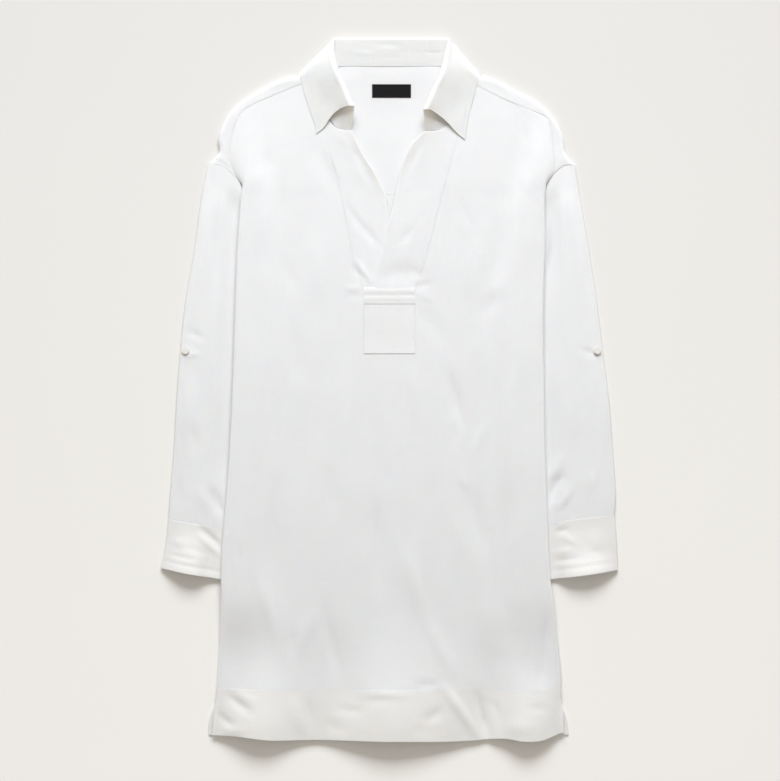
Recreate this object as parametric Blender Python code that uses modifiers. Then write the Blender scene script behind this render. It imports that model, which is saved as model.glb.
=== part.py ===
"""Popover dress in white linen, laid flat on its back with its sleeves brought down beside it.

The dress lies on the plane z = 0, its hem towards -Y and its collar towards +Y. Plan sizes and heights
are in millimetres, and the pieces are made in metres. Left is -X and right is +X. Each piece of cloth is
a grid of points on the middle of its wall, placed by a function and then given its thickness.
"""
from collections import namedtuple
from math import cos, hypot, pi, radians, sin

import bmesh
import bpy
from mathutils import Matrix, Vector

MM = 0.001
COLLECTION = "popover_dress"
CENTRE_X = -0.8
CENTRE_Y = -0.25

# Cloth
WALL = 1.2
DOUBLE_WALL = 2.0
BAND_WALL = 1.6
COLLAR_WALL = 1.6
SEAM_GAP = 0.3
FLOOR_MIDDLE = WALL / 2

# Side folds of the body, where the front turns under to meet the back
FOLD_RADIUS = 2.25
FOLD_LENGTH = pi * FOLD_RADIUS
LAYER_RISE = 2 * FOLD_RADIUS

# Heights along the dress
HEM_SEAM_Y = -391.0
BACK_HEM_Y = -450.5
YOKE_SEAM_Y = 253.0
ARMHOLE_BEND = 5
SEAM_SETBACK = 0.035
SLEEVE_LIFT = 4.9
BACK_LEAF_LIFT = 2.3

# Counts of grid cells
FOLD_CELLS = 3
SIDE_CELLS = 8
CENTRE_CELLS = 4
BACK_COLUMNS = 14
RING_CELLS = 22

Edge = namedtuple("Edge", "y left right")
BODY_EDGES = [
    Edge(-456, -227.5, 222.0),
    Edge(-430, -225.0, 221.0),
    Edge(-404, -226.0, 222.0),
    Edge(-378, -225.0, 223.5),
    Edge(-326, -222.0, 218.5),
    Edge(-274, -220.0, 212.5),
    Edge(-235, -220.0, 207.5),
    Edge(-196, -218.0, 206.0),
    Edge(-144, -214.0, 204.0),
    Edge(-79, -209.0, 201.5),
    Edge(51, -203.5, 200.0),
    Edge(116, -201.5, 200.0),
    Edge(181, -199.0, 201.5),
    Edge(246, -194.5, 201.5),
    Edge(291, -188.5, 205.5),
    Edge(337, -189.5, 205.0),
    Edge(361, -189.0, 200.0),
]
BACK_HEM_EDGES = [
    Edge(-451, -236.0, 232.5),
    Edge(-436, -236.3, 231.5),
    Edge(-420, -232.5, 227.5),
    Edge(-404, -224.0, 219.0),
    Edge(-391, -221.0, 220.0),
]

HemPoint = namedtuple("HemPoint", "x y")
FRONT_HEM = [
    HemPoint(-228, -450.5),
    HemPoint(-192, -451.0),
    HemPoint(-164, -454.6),
    HemPoint(-133, -456.3),
    HemPoint(-60, -456.5),
    HemPoint(13, -456.5),
    HemPoint(73, -457.9),
    HemPoint(113, -457.0),
    HemPoint(150, -454.0),
    HemPoint(190, -457.0),
    HemPoint(223, -447.5),
]

Arch = namedtuple("Arch", "crest left_end right_end height top")
HEM_ARCHES = [
    Arch(-172, -232, -100, 15.0, -290),
    Arch(0, -100, 126, 16.0, -262),
    Arch(176, 126, 228, 14.5, -300),
]

Fold = namedtuple("Fold", "x0 y0 x1 y1 width height")
FRONT_FOLDS = [
    Fold(173, 344, 152, 216, 13, -1.6),
    Fold(152, 220, 138, 141, 12, -1.4),
    Fold(192, 330, 180, 170, 10, 0.9),
    Fold(202, -305, 199, -388, 7, -1.6),
    Fold(-118, -300, -100, -392, 16, -0.8),
    Fold(20, -60, 30, -270, 26, 0.8),
    Fold(-70, 20, -90, -240, 24, 0.7),
]

# A sleeve station runs from its outer fold at y to its inner fold, which lies lower by slant
Station = namedtuple("Station", "y outer inner slant bow")
SLEEVES = {
    "left": [
        Station(-168.6, -288.4, -186.0, 17.9, 0.0),
        Station(-144, -287.0, -184.0, 14.0, 0.0),
        Station(-79, -281.5, -178.0, 11.0, 0.0),
        Station(-14, -278.0, -173.0, 10.0, 0.0),
        Station(51, -273.0, -170.0, 9.0, 0.0),
        Station(116, -266.0, -170.0, 10.0, 0.0),
        Station(181, -255.0, -174.0, 10.0, 0.0),
        Station(246, -246.0, -187.0, 13.0, 1.0),
        Station(280, -239.3, -196.3, 18.0, 4.0),
        Station(291.2, -236.0, -199.2, 18.4, 5.0),
    ],
    "right": [
        Station(-162.6, 292.2, 179.0, 13.5, 0.0),
        Station(-144, 294.0, 178.0, 12.0, 0.0),
        Station(-79, 290.0, 175.0, 11.0, 0.0),
        Station(-14, 285.0, 173.0, 10.0, 0.0),
        Station(51, 277.0, 172.0, 9.0, 0.0),
        Station(116, 269.0, 176.0, 10.0, 0.0),
        Station(181, 259.0, 184.0, 10.0, 0.0),
        Station(246, 248.0, 200.0, 10.0, 2.0),
        Station(278, 242.6, 210.6, 11.0, 5.4),
        Station(288.4, 241.3, 213.0, 10.6, 6.2),
    ],
}
CUFFS = {
    "left": [
        Station(-233.4, -298.4, -190.0, 20.0, 0.0),
        Station(-214, -294.6, -189.0, 19.0, 0.0),
        Station(-196, -291.2, -188.0, 18.2, 0.0),
        Station(-169.4, -288.8, -186.4, 18.0, 0.0),
    ],
    "right": [
        Station(-235.7, 296.8, 182.0, 16.0, 0.0),
        Station(-216, 296.0, 181.0, 15.0, 0.0),
        Station(-196, 295.0, 180.0, 14.2, 0.0),
        Station(-163.4, 292.4, 179.2, 13.6, 0.0),
    ],
}
SLEEVE_RISE = 3.4
SLEEVE_LOFT = 2.6
CUFF_RISE = 2.6
CUFF_END_LOFT = 8.5

# A shoulder column of the yoke runs from the back seam, under the forward seam, round the fold at the
# silhouette and back to the forward seam. The first is the armhole edge and the last the neck edge.
Shoulder = namedtuple("Shoulder", "seam_x seam_y fold_x fold_y back_x bow")
SHOULDERS = {
    "left": [
        Shoulder(-198.6, 274.2, -236.0, 292.8, -184, 5.7),
        Shoulder(-206.0, 291.0, -229.0, 299.0, -183, 1.0),
        Shoulder(-209.0, 308.0, -222.3, 309.5, -179, 0.0),
        Shoulder(-206.8, 323.0, -224.0, 326.5, -176, 0.0),
        Shoulder(-203.0, 338.0, -217.5, 344.5, -170, 0.0),
        Shoulder(-198.0, 353.0, -207.5, 361.0, -160, 0.0),
        Shoulder(-190.5, 363.0, -192.0, 375.5, -150, 0.0),
        Shoulder(-177.0, 371.0, -176.5, 385.5, -138, 0.0),
        Shoulder(-160.0, 378.5, -160.0, 394.5, -126, 0.0),
        Shoulder(-143.5, 385.5, -143.5, 402.5, -114, 0.0),
        Shoulder(-127.0, 392.0, -127.0, 407.2, -102, 0.0),
        Shoulder(-114.0, 396.6, -114.0, 409.0, -92, 0.0),
        Shoulder(-101.0, 400.0, -100.0, 410.8, -82, 0.0),
        Shoulder(-91.0, 402.0, -88.5, 411.0, -74, 0.0),
    ],
    "right": [
        Shoulder(212.4, 279.0, 241.5, 289.9, 190, 7.0),
        Shoulder(214.6, 293.0, 234.0, 298.5, 188, 1.0),
        Shoulder(213.2, 306.0, 227.5, 311.0, 183, 0.0),
        Shoulder(210.8, 321.0, 225.0, 327.5, 180, 0.0),
        Shoulder(209.0, 337.0, 217.0, 347.5, 172, 0.0),
        Shoulder(206.0, 350.0, 206.0, 360.0, 162, 0.0),
        Shoulder(199.5, 356.5, 193.0, 372.0, 152, 0.0),
        Shoulder(185.0, 361.8, 179.0, 381.0, 140, 0.0),
        Shoulder(171.0, 367.5, 165.0, 388.0, 128, 0.0),
        Shoulder(156.0, 374.2, 151.0, 395.5, 116, 0.0),
        Shoulder(142.0, 380.5, 137.0, 402.5, 104, 0.0),
        Shoulder(127.0, 387.6, 124.0, 406.5, 94, 0.0),
        Shoulder(113.0, 394.0, 112.0, 407.5, 84, 0.0),
        Shoulder(92.0, 401.0, 89.5, 410.5, 74, 0.0),
    ],
}
NeckColumn = namedtuple("NeckColumn", "x y back_x")
NECK_COLUMNS = [
    NeckColumn(-84.0, 411.0, -64),
    NeckColumn(-74.0, 415.0, -57),
    NeckColumn(-64.0, 417.6, -48),
    NeckColumn(-40.0, 418.3, -30),
    NeckColumn(-13.0, 418.3, -10),
    NeckColumn(14.0, 418.3, 10),
    NeckColumn(42.0, 418.3, 30),
    NeckColumn(65.0, 417.6, 48),
    NeckColumn(75.0, 415.0, 57),
    NeckColumn(85.0, 410.6, 64),
]

# Seam between a front panel and its placket band, then the front's own neck edge
Seam = namedtuple("Seam", "y left right")
BAND_SEAMS = [
    Seam(-391, -36.0, 35.0),
    Seam(40, -34.4, 33.4),
    Seam(131.5, -34.4, 33.4),
    Seam(168, -47.0, 46.0),
    Seam(240, -61.0, 64.0),
    Seam(300, -75.5, 80.0),
    Seam(340, -85.5, 89.0),
    Seam(372, -86.0, 88.0),
    Seam(386, -89.0, 90.5),
    Seam(401.5, -91.0, 92.0),
]
BAND_TOP_Y = 370.4
SLIT_FOOT_Y = 131.5

Lip = namedtuple("Lip", "x y")
FREE_EDGES = {
    "left": [Lip(29, 133), Lip(14, 166), Lip(4, 198), Lip(-2.6, 229), Lip(-5.5, 254), Lip(-12, 266),
             Lip(-23, 286), Lip(-31, 298), Lip(-40, 313), Lip(-49, 336.2)],
    "right": [Lip(-19, 133), Lip(-16, 150), Lip(-10, 181), Lip(-3, 212), Lip(4, 239), Lip(8, 259),
              Lip(12, 278), Lip(18, 298), Lip(29, 319), Lip(45, 334.6)],
}

BOX_LEFT = -34.0
BOX_RIGHT = 32.8
BOX_BOTTOM = 46.0
BOX_TOP = 129.0
BAR_BOTTOM = 110.5
BAR_TOP = 131.6

# A collar section runs from the neck seam up the stand to the crease and down the leaf to its edge.
# turn is 0 where the crease points away from the neck and 1 where it points up.
Section = namedtuple("Section", "neck crease edge turn radius arch belly")
COLLAR = {
    "left": [
        Section((-49.4, 337.6, 7.6), (-50.0, 366.6, 19.0), (-95.6, 331.0, 8.4), 1.0, 2.4, 12.0, 4.5),
        Section((-60.0, 348.0, 7.2), (-54.0, 374.0, 18.8), (-98.5, 346.0, 8.2), 1.0, 2.4, 5.0, 4.0),
        Section((-72.0, 360.0, 7.2), (-61.0, 390.5, 17.8), (-104.5, 361.5, 8.0), 1.0, 2.5, 1.0, 2.6),
        Section((-83.0, 375.0, 7.2), (-68.5, 406.5, 16.5), (-110.5, 380.0, 8.0), 1.0, 2.6, 0.0, 1.6),
        Section((-87.5, 392.0, 7.0), (-74.0, 423.0, 14.0), (-115.0, 397.5, 8.2), 1.0, 2.7, 0.0, 1.2),
        Section((-84.0, 403.0, 6.6), (-76.0, 438.0, 11.6), (-117.0, 405.5, 8.4), 0.85, 2.7, 0.0, 1.0),
        Section((-78.5, 411.5, 5.8), (-75.0, 450.0, 8.6), (-118.0, 409.5, 6.2), 0.6, 2.6, 0.0, 0.4),
        Section((-71.5, 417.2, 4.8), (-72.5, 456.0, 5.6), (-116.0, 411.6, 2.6), 0.25, 2.4, 0.0, 0.0),
        Section((-61.0, 419.3, 3.8), (-63.0, 456.5, 3.9), (-103.0, 411.8, 0.95), 0.0, 2.4, 0.0, 0.0),
        Section((-30.0, 419.3, 3.5), (-32.0, 456.5, 3.4), (-52.0, 411.5, 0.85), 0.0, 2.4, 0.0, 0.0),
    ],
    "right": [
        Section((45.2, 336.2, 7.6), (46.8, 363.4, 19.0), (97.5, 324.0, 8.4), 1.0, 2.4, 12.0, 4.5),
        Section((56.0, 346.0, 7.2), (51.0, 371.0, 18.8), (99.0, 340.0, 8.2), 1.0, 2.4, 6.0, 4.0),
        Section((70.0, 359.0, 7.2), (58.5, 387.5, 17.8), (103.0, 358.0, 8.0), 1.0, 2.5, 1.0, 2.6),
        Section((83.0, 375.0, 7.2), (67.0, 404.5, 16.5), (108.5, 377.0, 8.0), 1.0, 2.6, 0.0, 1.6),
        Section((88.0, 392.0, 7.0), (72.0, 421.0, 14.0), (112.5, 394.0, 8.2), 1.0, 2.7, 0.0, 1.2),
        Section((85.0, 403.0, 6.6), (75.0, 437.0, 11.6), (114.5, 402.5, 8.4), 0.85, 2.7, 0.0, 1.0),
        Section((79.5, 411.3, 5.8), (77.5, 449.0, 8.6), (116.0, 407.5, 6.2), 0.6, 2.6, 0.0, 0.4),
        Section((73.0, 417.2, 4.8), (77.0, 455.5, 5.6), (115.0, 410.6, 2.6), 0.25, 2.4, 0.0, 0.0),
        Section((63.0, 419.3, 3.8), (66.0, 456.5, 3.9), (103.0, 411.5, 0.95), 0.0, 2.4, 0.0, 0.0),
        Section((32.0, 419.3, 3.5), (34.0, 456.5, 3.4), (54.0, 411.5, 0.85), 0.0, 2.4, 0.0, 0.0),
    ],
}
COLLAR_MIDDLE = Section((2.0, 419.3, 3.5), (2.0, 456.5, 3.4), (2.0, 411.5, 0.85), 0.0, 2.4, 0.0, 0.0)
COLLAR_COLUMNS = 46

LABEL_LEFT, LABEL_RIGHT = -23.4, 27.3
LABEL_BOTTOM, LABEL_TOP = 379.0, 396.5
LABEL_WALL = 0.6

BUTTON_RADIUS = 5.0
BUTTON_DEPTH = 2.2
BUTTON_TILT = 12
BUTTON_INSET = 7.5
BUTTON_HEIGHT = 7.3
BUTTON_Y = 50.0

SIGN = {"left": -1, "right": 1}


# Reading the tables

def smooth(t):
    """Rise from 0 to 1 with no kink at either end."""
    t = min(max(t, 0.0), 1.0)
    return t * t * (3 - 2 * t)


def mix(a, b, t):
    return a + (b - a) * t


def read(keys, values, at):
    """Value at a key, on a smooth curve through the values."""
    if at <= keys[0]:
        return values[0]
    if at >= keys[-1]:
        return values[-1]
    i = next(n for n in range(len(keys) - 1) if at <= keys[n + 1])

    def slope(n):
        low, high = max(n - 1, 0), min(n + 1, len(keys) - 1)
        return (values[high] - values[low]) / (keys[high] - keys[low])

    span = keys[i + 1] - keys[i]
    t = (at - keys[i]) / span
    start = (2 * t ** 3 - 3 * t ** 2 + 1) * values[i] + (t ** 3 - 2 * t ** 2 + t) * span * slope(i)
    end = (3 * t ** 2 - 2 * t ** 3) * values[i + 1] + (t ** 3 - t ** 2) * span * slope(i + 1)
    return start + end


def column(rows, key, name, at):
    """Read one named column of a table where its key column is at a value."""
    return read([getattr(row, key) for row in rows], [getattr(row, name) for row in rows], at)


def along(points, t):
    """Point at a share t of the length of a smooth curve through points."""
    lengths = [0.0]
    for a, b in zip(points, points[1:]):
        lengths.append(lengths[-1] + hypot(*(q - p for p, q in zip(a, b))))
    at = t * lengths[-1]
    return tuple(read(lengths, [p[axis] for p in points], at) for axis in range(len(points[0])))


# Heights of the layers, each for the middle of a wall

def sleeve_share(x, y):
    """How far a point of the body lies over the tucked part of a sleeve, from 0 to 1."""
    side = "left" if x < 0 else "right"
    inner = abs(column(SLEEVES[side], "y", "inner", y))
    return smooth((abs(x) - (inner - 42)) / 26)


def back_height(x, y):
    """Back of the body, on the floor in the middle, over the sleeves and over the back of the collar."""
    over_sleeve = sleeve_share(x, y) * smooth((288 - y) / 22) * smooth((y + 294) / 34)
    over_leaf = smooth((y - 398) / 9) * (1 - smooth((abs(x) - 113) / 8))
    return FLOOR_MIDDLE + SLEEVE_LIFT * over_sleeve + BACK_LEAF_LIFT * over_leaf


def fold_height(fold, x, y):
    """Soft ridge or trough along a straight line."""
    dx, dy = fold.x1 - fold.x0, fold.y1 - fold.y0
    length = hypot(dx, dy)
    t = ((x - fold.x0) * dx + (y - fold.y0) * dy) / length ** 2
    beside = ((x - fold.x0) * dy - (y - fold.y0) * dx) / length
    across = smooth(1 - abs(beside) / fold.width)
    ends = smooth((t + 0.1) / 0.3) * smooth((1.1 - t) / 0.3)
    return fold.height * across * ends


def arch_height(x, y):
    """Waves of the front hem, which stand clear of the back."""
    height = 0.0
    for arch in HEM_ARCHES:
        if arch.left_end < x < arch.right_end:
            end = arch.left_end if x < arch.crest else arch.right_end
            across = cos(pi / 2 * (x - arch.crest) / (end - arch.crest)) ** 2
            reach = (arch.top - y) / (arch.top + 456)
            height += arch.height * across * smooth(reach) ** 1.3
    return height


def front_height(x, y):
    """Front of the body."""
    over_sleeve = sleeve_share(x, y) * smooth((372 - y) / 108) * smooth((y + 294) / 34)
    over_leaf = 0.9 * smooth((y - 392) / 10)
    folds = sum(fold_height(fold, x, y) for fold in FRONT_FOLDS)
    base = FLOOR_MIDDLE + LAYER_RISE + SLEEVE_LIFT * over_sleeve + over_leaf
    return base + folds + arch_height(x, y)


# Making pieces

def material(name, colour, roughness):
    surface = bpy.data.materials.new(name)
    surface.use_nodes = True
    shader = surface.node_tree.nodes["Principled BSDF"]
    shader.inputs["Base Color"].default_value = (*colour, 1)
    shader.inputs["Roughness"].default_value = roughness
    shader.inputs["Metallic"].default_value = 0
    return surface


def finish(name, mesh, surface):
    piece = bpy.data.objects.new(name, mesh)
    bpy.data.collections[COLLECTION].objects.link(piece)
    mesh.materials.append(surface)
    mesh.shade_smooth()
    mesh.set_sharp_from_angle(angle=radians(40))
    return piece


def cloth(name, columns, rows, place, wall, surface, kept=None, ring=False):
    """A grid of columns by rows cells, its points placed by a function of column and row, made a wall."""
    shape = bmesh.new()
    bmesh.ops.create_grid(shape, x_segments=columns, y_segments=rows, size=1)
    shape.verts.ensure_lookup_table()
    places = {}
    for vert in shape.verts:
        row, col = divmod(vert.index, columns + 1)
        places[vert] = (col, row)
        x, y, z = place(0 if ring and col == columns else col, row)
        vert.co = Vector((x - CENTRE_X, y - CENTRE_Y, z)) * MM
    if kept:
        cut = [face for face in shape.faces
               if not kept(min(places[v][0] for v in face.verts), min(places[v][1] for v in face.verts))]
        bmesh.ops.delete(shape, geom=cut, context="FACES")
    if ring:
        bmesh.ops.remove_doubles(shape, verts=shape.verts, dist=1e-7)
    mesh = bpy.data.meshes.new(name)
    shape.to_mesh(mesh)
    shape.free()
    piece = finish(name, mesh, surface)
    thickness = piece.modifiers.new("wall", "SOLIDIFY")
    thickness.thickness = wall * MM
    thickness.offset = 0
    return piece


# Front panel and its hem band

LOWER_ROWS = [HEM_SEAM_Y + SEAM_GAP, -372, -350, -325, -300, -274, -245, -210, -170, -120, -70, -20, 30,
              78, 112, SLIT_FOOT_Y, 160, 195, 228, 250]
SEAM_COLUMN_YS = [266, 287, 308, 328, 347, 364, 384, 401.5]
DROP_COLUMNS = 6
FRONT_ROWS = len(LOWER_ROWS) - 1 + len(SEAM_COLUMN_YS)
HALF_COLUMNS = FOLD_CELLS + SIDE_CELLS
FRONT_COLUMNS = 2 * HALF_COLUMNS + CENTRE_CELLS
SLIT_ROW = LOWER_ROWS.index(SLIT_FOOT_Y)


def fold_point(side, y, share, turn=pi):
    """Point on the side fold, from its top (share 0) round to the seam with the back (share 1)."""
    sign = SIGN[side]
    edge = column(BODY_EDGES, "y", side, y)
    top_x = edge - sign * (FOLD_RADIUS + WALL / 2)
    angle = max(turn * share, 1e-6)
    reach = FOLD_LENGTH * share / angle
    x = top_x + sign * reach * sin(angle)
    return x, y, front_height(top_x, y) - reach * (1 - cos(angle))


def shoulder_columns(side):
    """The drop's own columns, then the shoulder's, shared out evenly as the front's top row is."""
    rows = SHOULDERS[side]
    shoulder = [Shoulder(*along(rows[DROP_COLUMNS:], step / HALF_COLUMNS))
                for step in range(HALF_COLUMNS + 1)]
    return rows[:DROP_COLUMNS] + shoulder


SHOULDER_TABLES = {side: shoulder_columns(side) for side in ("left", "right")}
SHOULDER_COLUMNS = len(SHOULDER_TABLES["left"])


def seam_height(x, y):
    """Height of the forward seam, where the front and the yoke meet."""
    return FLOOR_MIDDLE + LAYER_RISE + 0.9 * smooth((y - 392) / 10)


def drop_seam(side, row):
    """Point of the drop seam at a row above the armhole, a little inside it."""
    shoulder = SHOULDER_TABLES[side][row]
    x = shoulder.seam_x - SIGN[side] * SEAM_GAP
    return x, shoulder.seam_y, seam_height(x, shoulder.seam_y)


def front_point(col, row):
    left = col <= FRONT_COLUMNS / 2
    side = "left" if left else "right"
    step = col if left else FRONT_COLUMNS - col
    gap = -SIGN[side] * SEAM_GAP
    if row < len(LOWER_ROWS):
        return lower_front_point(side, step, LOWER_ROWS[row], row, gap)
    return upper_front_point(side, min(step, HALF_COLUMNS), row - len(LOWER_ROWS) + 1, gap)


def lower_front_point(side, step, y, row, gap):
    if step < FOLD_CELLS:
        return fold_point(side, y, 1 - step / FOLD_CELLS)
    seam_x = column(BAND_SEAMS, "y", side, y)
    if step > HALF_COLUMNS:
        other_x = column(BAND_SEAMS, "y", "right" if side == "left" else "left", y)
        x = mix(seam_x, other_x, (step - HALF_COLUMNS) / CENTRE_CELLS)
        return x, y, front_height(x, y)
    if row > SLIT_ROW:
        seam_x -= gap
    top_x = fold_point(side, y, 0)[0]
    x = mix(top_x, seam_x, (step - FOLD_CELLS) / SIDE_CELLS)
    return x, y, front_height(x, y)


def upper_front_point(side, step, row, gap):
    """Front above the base of the armhole: row 1 still folds under, and row 2 is the first at the drop."""
    seam_y = SEAM_COLUMN_YS[row - 1]
    seam_x = column(BAND_SEAMS, "y", side, seam_y) - gap
    if row == len(SEAM_COLUMN_YS):
        shoulder = SHOULDER_TABLES[side][DROP_COLUMNS + step]
        x = shoulder.seam_x + gap
        y = shoulder.seam_y - 2 * SEAM_GAP
        return x, y, seam_height(x, y)
    if row == 1:
        edge_y = (LOWER_ROWS[-1] + SHOULDERS[side][0].seam_y) / 2
        outer = fold_point(side, edge_y, 1)
        ridge = fold_point(side, edge_y, 0)
    else:
        outer = drop_seam(side, row - 2)
        edge_y = outer[1]
        ridge_x = column(BODY_EDGES, "y", side, edge_y) - SIGN[side] * 2.0
        ridge = (ridge_x, edge_y, front_height(ridge_x, edge_y))
    if step < FOLD_CELLS:
        share = 1 - step / FOLD_CELLS
        if row == 1:
            return fold_point(side, edge_y, share)
        x = mix(ridge[0], outer[0], share)
        z = mix(ridge[2], outer[2], share ** 1.5)
        return x, edge_y, z
    share = (step - FOLD_CELLS) / SIDE_CELLS
    x = mix(ridge[0], seam_x, share)
    y = mix(edge_y, seam_y, share) + 4.5 * sin(pi * share) * smooth((row - 4) / 4)
    return x, y, front_height(x, y)


def front_kept(col, row):
    in_slit = HALF_COLUMNS <= col < HALF_COLUMNS + CENTRE_CELLS
    return not (in_slit and row >= SLIT_ROW)


HEM_ROWS = 4


def front_hem_point(col, row):
    """Hem band of the front. Its side edges open out flat below the top of the slits."""
    left = col <= FRONT_COLUMNS / 2
    side = "left" if left else "right"
    step = col if left else FRONT_COLUMNS - col
    share = row / HEM_ROWS
    nominal = mix(-456, HEM_SEAM_Y - SEAM_GAP, share)
    turn = mix(0.15, pi, smooth((nominal + 440) / 49) ** 1.6)
    if step < FOLD_CELLS:
        x, y, z = fold_point(side, nominal, 1 - step / FOLD_CELLS, turn)
    elif step > HALF_COLUMNS:
        x = mix(-36, 35, (col - HALF_COLUMNS) / CENTRE_CELLS)
        y, z = nominal, front_height(x, nominal)
    else:
        top_x = fold_point(side, nominal, 0)[0]
        x = mix(top_x, column(BAND_SEAMS, "y", side, HEM_SEAM_Y), (step - FOLD_CELLS) / SIDE_CELLS)
        y, z = nominal, front_height(x, nominal)
    y = mix(column(FRONT_HEM, "x", "y", x), HEM_SEAM_Y - SEAM_GAP, share)
    return x, y, max(z, DOUBLE_WALL + SEAM_GAP + 1.6)


# Back panel and its hem band

BACK_ROWS = [HEM_SEAM_Y + SEAM_GAP, -350, -300, -274, -260, -245, -210, -170, -120, -70, -20, 30, 78,
             SLIT_FOOT_Y, 195, 228, YOKE_SEAM_Y - SEAM_GAP]


def back_edge(side, y):
    """Side of the back, where it meets the turned-under front."""
    sign = SIGN[side]
    return column(BODY_EDGES, "y", side, y) - sign * (FOLD_RADIUS + WALL / 2 + 2 * SEAM_GAP)


def spread(col, left_x, right_x):
    """Share a width out with narrow columns at the sides."""
    t = col / BACK_COLUMNS
    eased = 0.62 * t + 0.38 * (0.5 - 0.5 * cos(pi * t))
    return mix(left_x, right_x, eased)


def back_point(col, row):
    y = BACK_ROWS[row]
    x = spread(col, back_edge("left", y), back_edge("right", y))
    return x, y, back_height(x, y)


def back_hem_point(col, row):
    y = mix(BACK_HEM_Y, HEM_SEAM_Y - SEAM_GAP, row / HEM_ROWS)
    left_x = column(BACK_HEM_EDGES, "y", "left", y)
    right_x = column(BACK_HEM_EDGES, "y", "right", y)
    return spread(col, left_x, right_x), y, DOUBLE_WALL / 2


# Yoke

FLOOR_SHARES = [0, 0.28, 0.55, 0.76, 0.9, 1]
NECK_SHARES = [0, 0.24, 0.48, 0.68, 0.82, 0.878, 0.935, 1]
FLOOR_ROWS = len(FLOOR_SHARES) - 1
UNDER_ROWS = 2
FOLD_ROWS = 3
STRIP_ROWS = 2
YOKE_FLOOR = FLOOR_ROWS + UNDER_ROWS
YOKE_ROWS = YOKE_FLOOR + FOLD_ROWS + STRIP_ROWS
YOKE_COLUMNS = 2 * SHOULDER_COLUMNS + len(NECK_COLUMNS) - 1


def shoulder_plan(side, shoulder, share, inset):
    """Plan point between the forward seam (share 0) and a place inset from the fold (share 1)."""
    dx, dy = shoulder.fold_x - shoulder.seam_x, shoulder.fold_y - shoulder.seam_y
    length = hypot(dx, dy)
    reach = (length - inset) / length * share
    x = shoulder.seam_x + dx * reach
    y = shoulder.seam_y + dy * reach + shoulder.bow * sin(pi * min(reach, 1))
    return x, y


def yoke_point(col, row):
    if SHOULDER_COLUMNS <= col < SHOULDER_COLUMNS + len(NECK_COLUMNS):
        neck = NECK_COLUMNS[col - SHOULDER_COLUMNS]
        share = NECK_SHARES[min(row, YOKE_FLOOR)]
        x = mix(neck.back_x, neck.x, share)
        y = mix(YOKE_SEAM_Y, neck.y, share)
        return x, y, back_height(x, y)
    side = "left" if col < SHOULDER_COLUMNS else "right"
    step = col if side == "left" else YOKE_COLUMNS - col
    shoulder = SHOULDER_TABLES[side][step]
    if row <= FLOOR_ROWS:
        share = FLOOR_SHARES[row]
        bend = max(1, ARMHOLE_BEND - step / 2)
        x = mix(shoulder.back_x, shoulder.seam_x, share ** bend)
        y = mix(YOKE_SEAM_Y, shoulder.seam_y, share)
        return x, y, back_height(x, y)
    bottom = back_height(shoulder.fold_x, shoulder.fold_y)
    top = seam_height(shoulder.fold_x, shoulder.fold_y)
    radius = (top - bottom) / 2
    inset = radius + WALL / 2
    if row <= YOKE_FLOOR:
        x, y = shoulder_plan(side, shoulder, (row - FLOOR_ROWS) / UNDER_ROWS, inset)
        return x, y, back_height(x, y)
    if row <= YOKE_FLOOR + FOLD_ROWS:
        angle = pi * (row - YOKE_FLOOR) / FOLD_ROWS
        x, y = shoulder_plan(side, shoulder, 1, inset - radius * sin(angle))
        return x, y, bottom + radius * (1 - cos(angle))
    share = 1 - (row - YOKE_FLOOR - FOLD_ROWS) / STRIP_ROWS
    x, y = shoulder_plan(side, shoulder, share, inset)
    if share == 0:
        x, y = shoulder_plan(side, shoulder, SEAM_SETBACK, inset)
    return x, y, seam_height(x, y)


def yoke_kept(col, row):
    on_shoulder = col < SHOULDER_COLUMNS - 1 or col >= SHOULDER_COLUMNS + len(NECK_COLUMNS)
    return on_shoulder or row < YOKE_FLOOR


# Placket bands, box, bar and label

BAND_YS = ([SLIT_FOOT_Y + SEAM_GAP] + LOWER_ROWS[SLIT_ROW + 1:]
           + [y for y in SEAM_COLUMN_YS if y < BAND_TOP_Y] + [BAND_TOP_Y])
BAND_ROWS = len(BAND_YS) - 1
BAND_COLUMNS = 5


def band_height(side, share, y):
    """Height of a placket band at a share of its width from its seam to its free edge."""
    seam = FLOOR_MIDDLE + LAYER_RISE
    lip = 3.4 * smooth((y - 262) / 70) * share ** 2
    if side == "left":
        tuck = 1.8 * smooth(share / 0.5) * (1 - smooth((y - 250) / 40))
        return seam - tuck + lip
    over_foot = 1.5 * (1 - smooth((y - 133) / 20))
    return seam + 0.15 + lip + over_foot


def band_place(side):
    def place(col, row):
        seam_y = BAND_YS[row]
        t = (seam_y - BAND_YS[0]) / (BAND_TOP_Y - BAND_YS[0])
        seam_x = column(BAND_SEAMS, "y", side, seam_y) - SIGN[side] * SEAM_GAP
        free_x, free_y = along(FREE_EDGES[side], t)
        share = col / BAND_COLUMNS
        x = mix(seam_x, free_x, share)
        y = mix(seam_y, free_y, share) - 2.5 * sin(pi * share) * smooth((t - 0.9) / 0.1)
        return x, y, band_height(side, share, y)
    return place


def patch_place(left_x, right_x, low_y, high_y, columns, rows, height):
    """Rectangle that follows the panel under it."""
    def place(col, row):
        x = mix(left_x, right_x, col / columns)
        y = mix(low_y, high_y, row / rows)
        return x, y, height(x, y)
    return place


def box_height(x, y):
    return FLOOR_MIDDLE + LAYER_RISE + WALL / 2 + SEAM_GAP + BAND_WALL / 2


def bar_height(x, y):
    return box_height(x, y) + BAND_WALL + SEAM_GAP


def label_height(x, y):
    return WALL + SEAM_GAP + LABEL_WALL / 2


# Sleeves and cuffs

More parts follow.
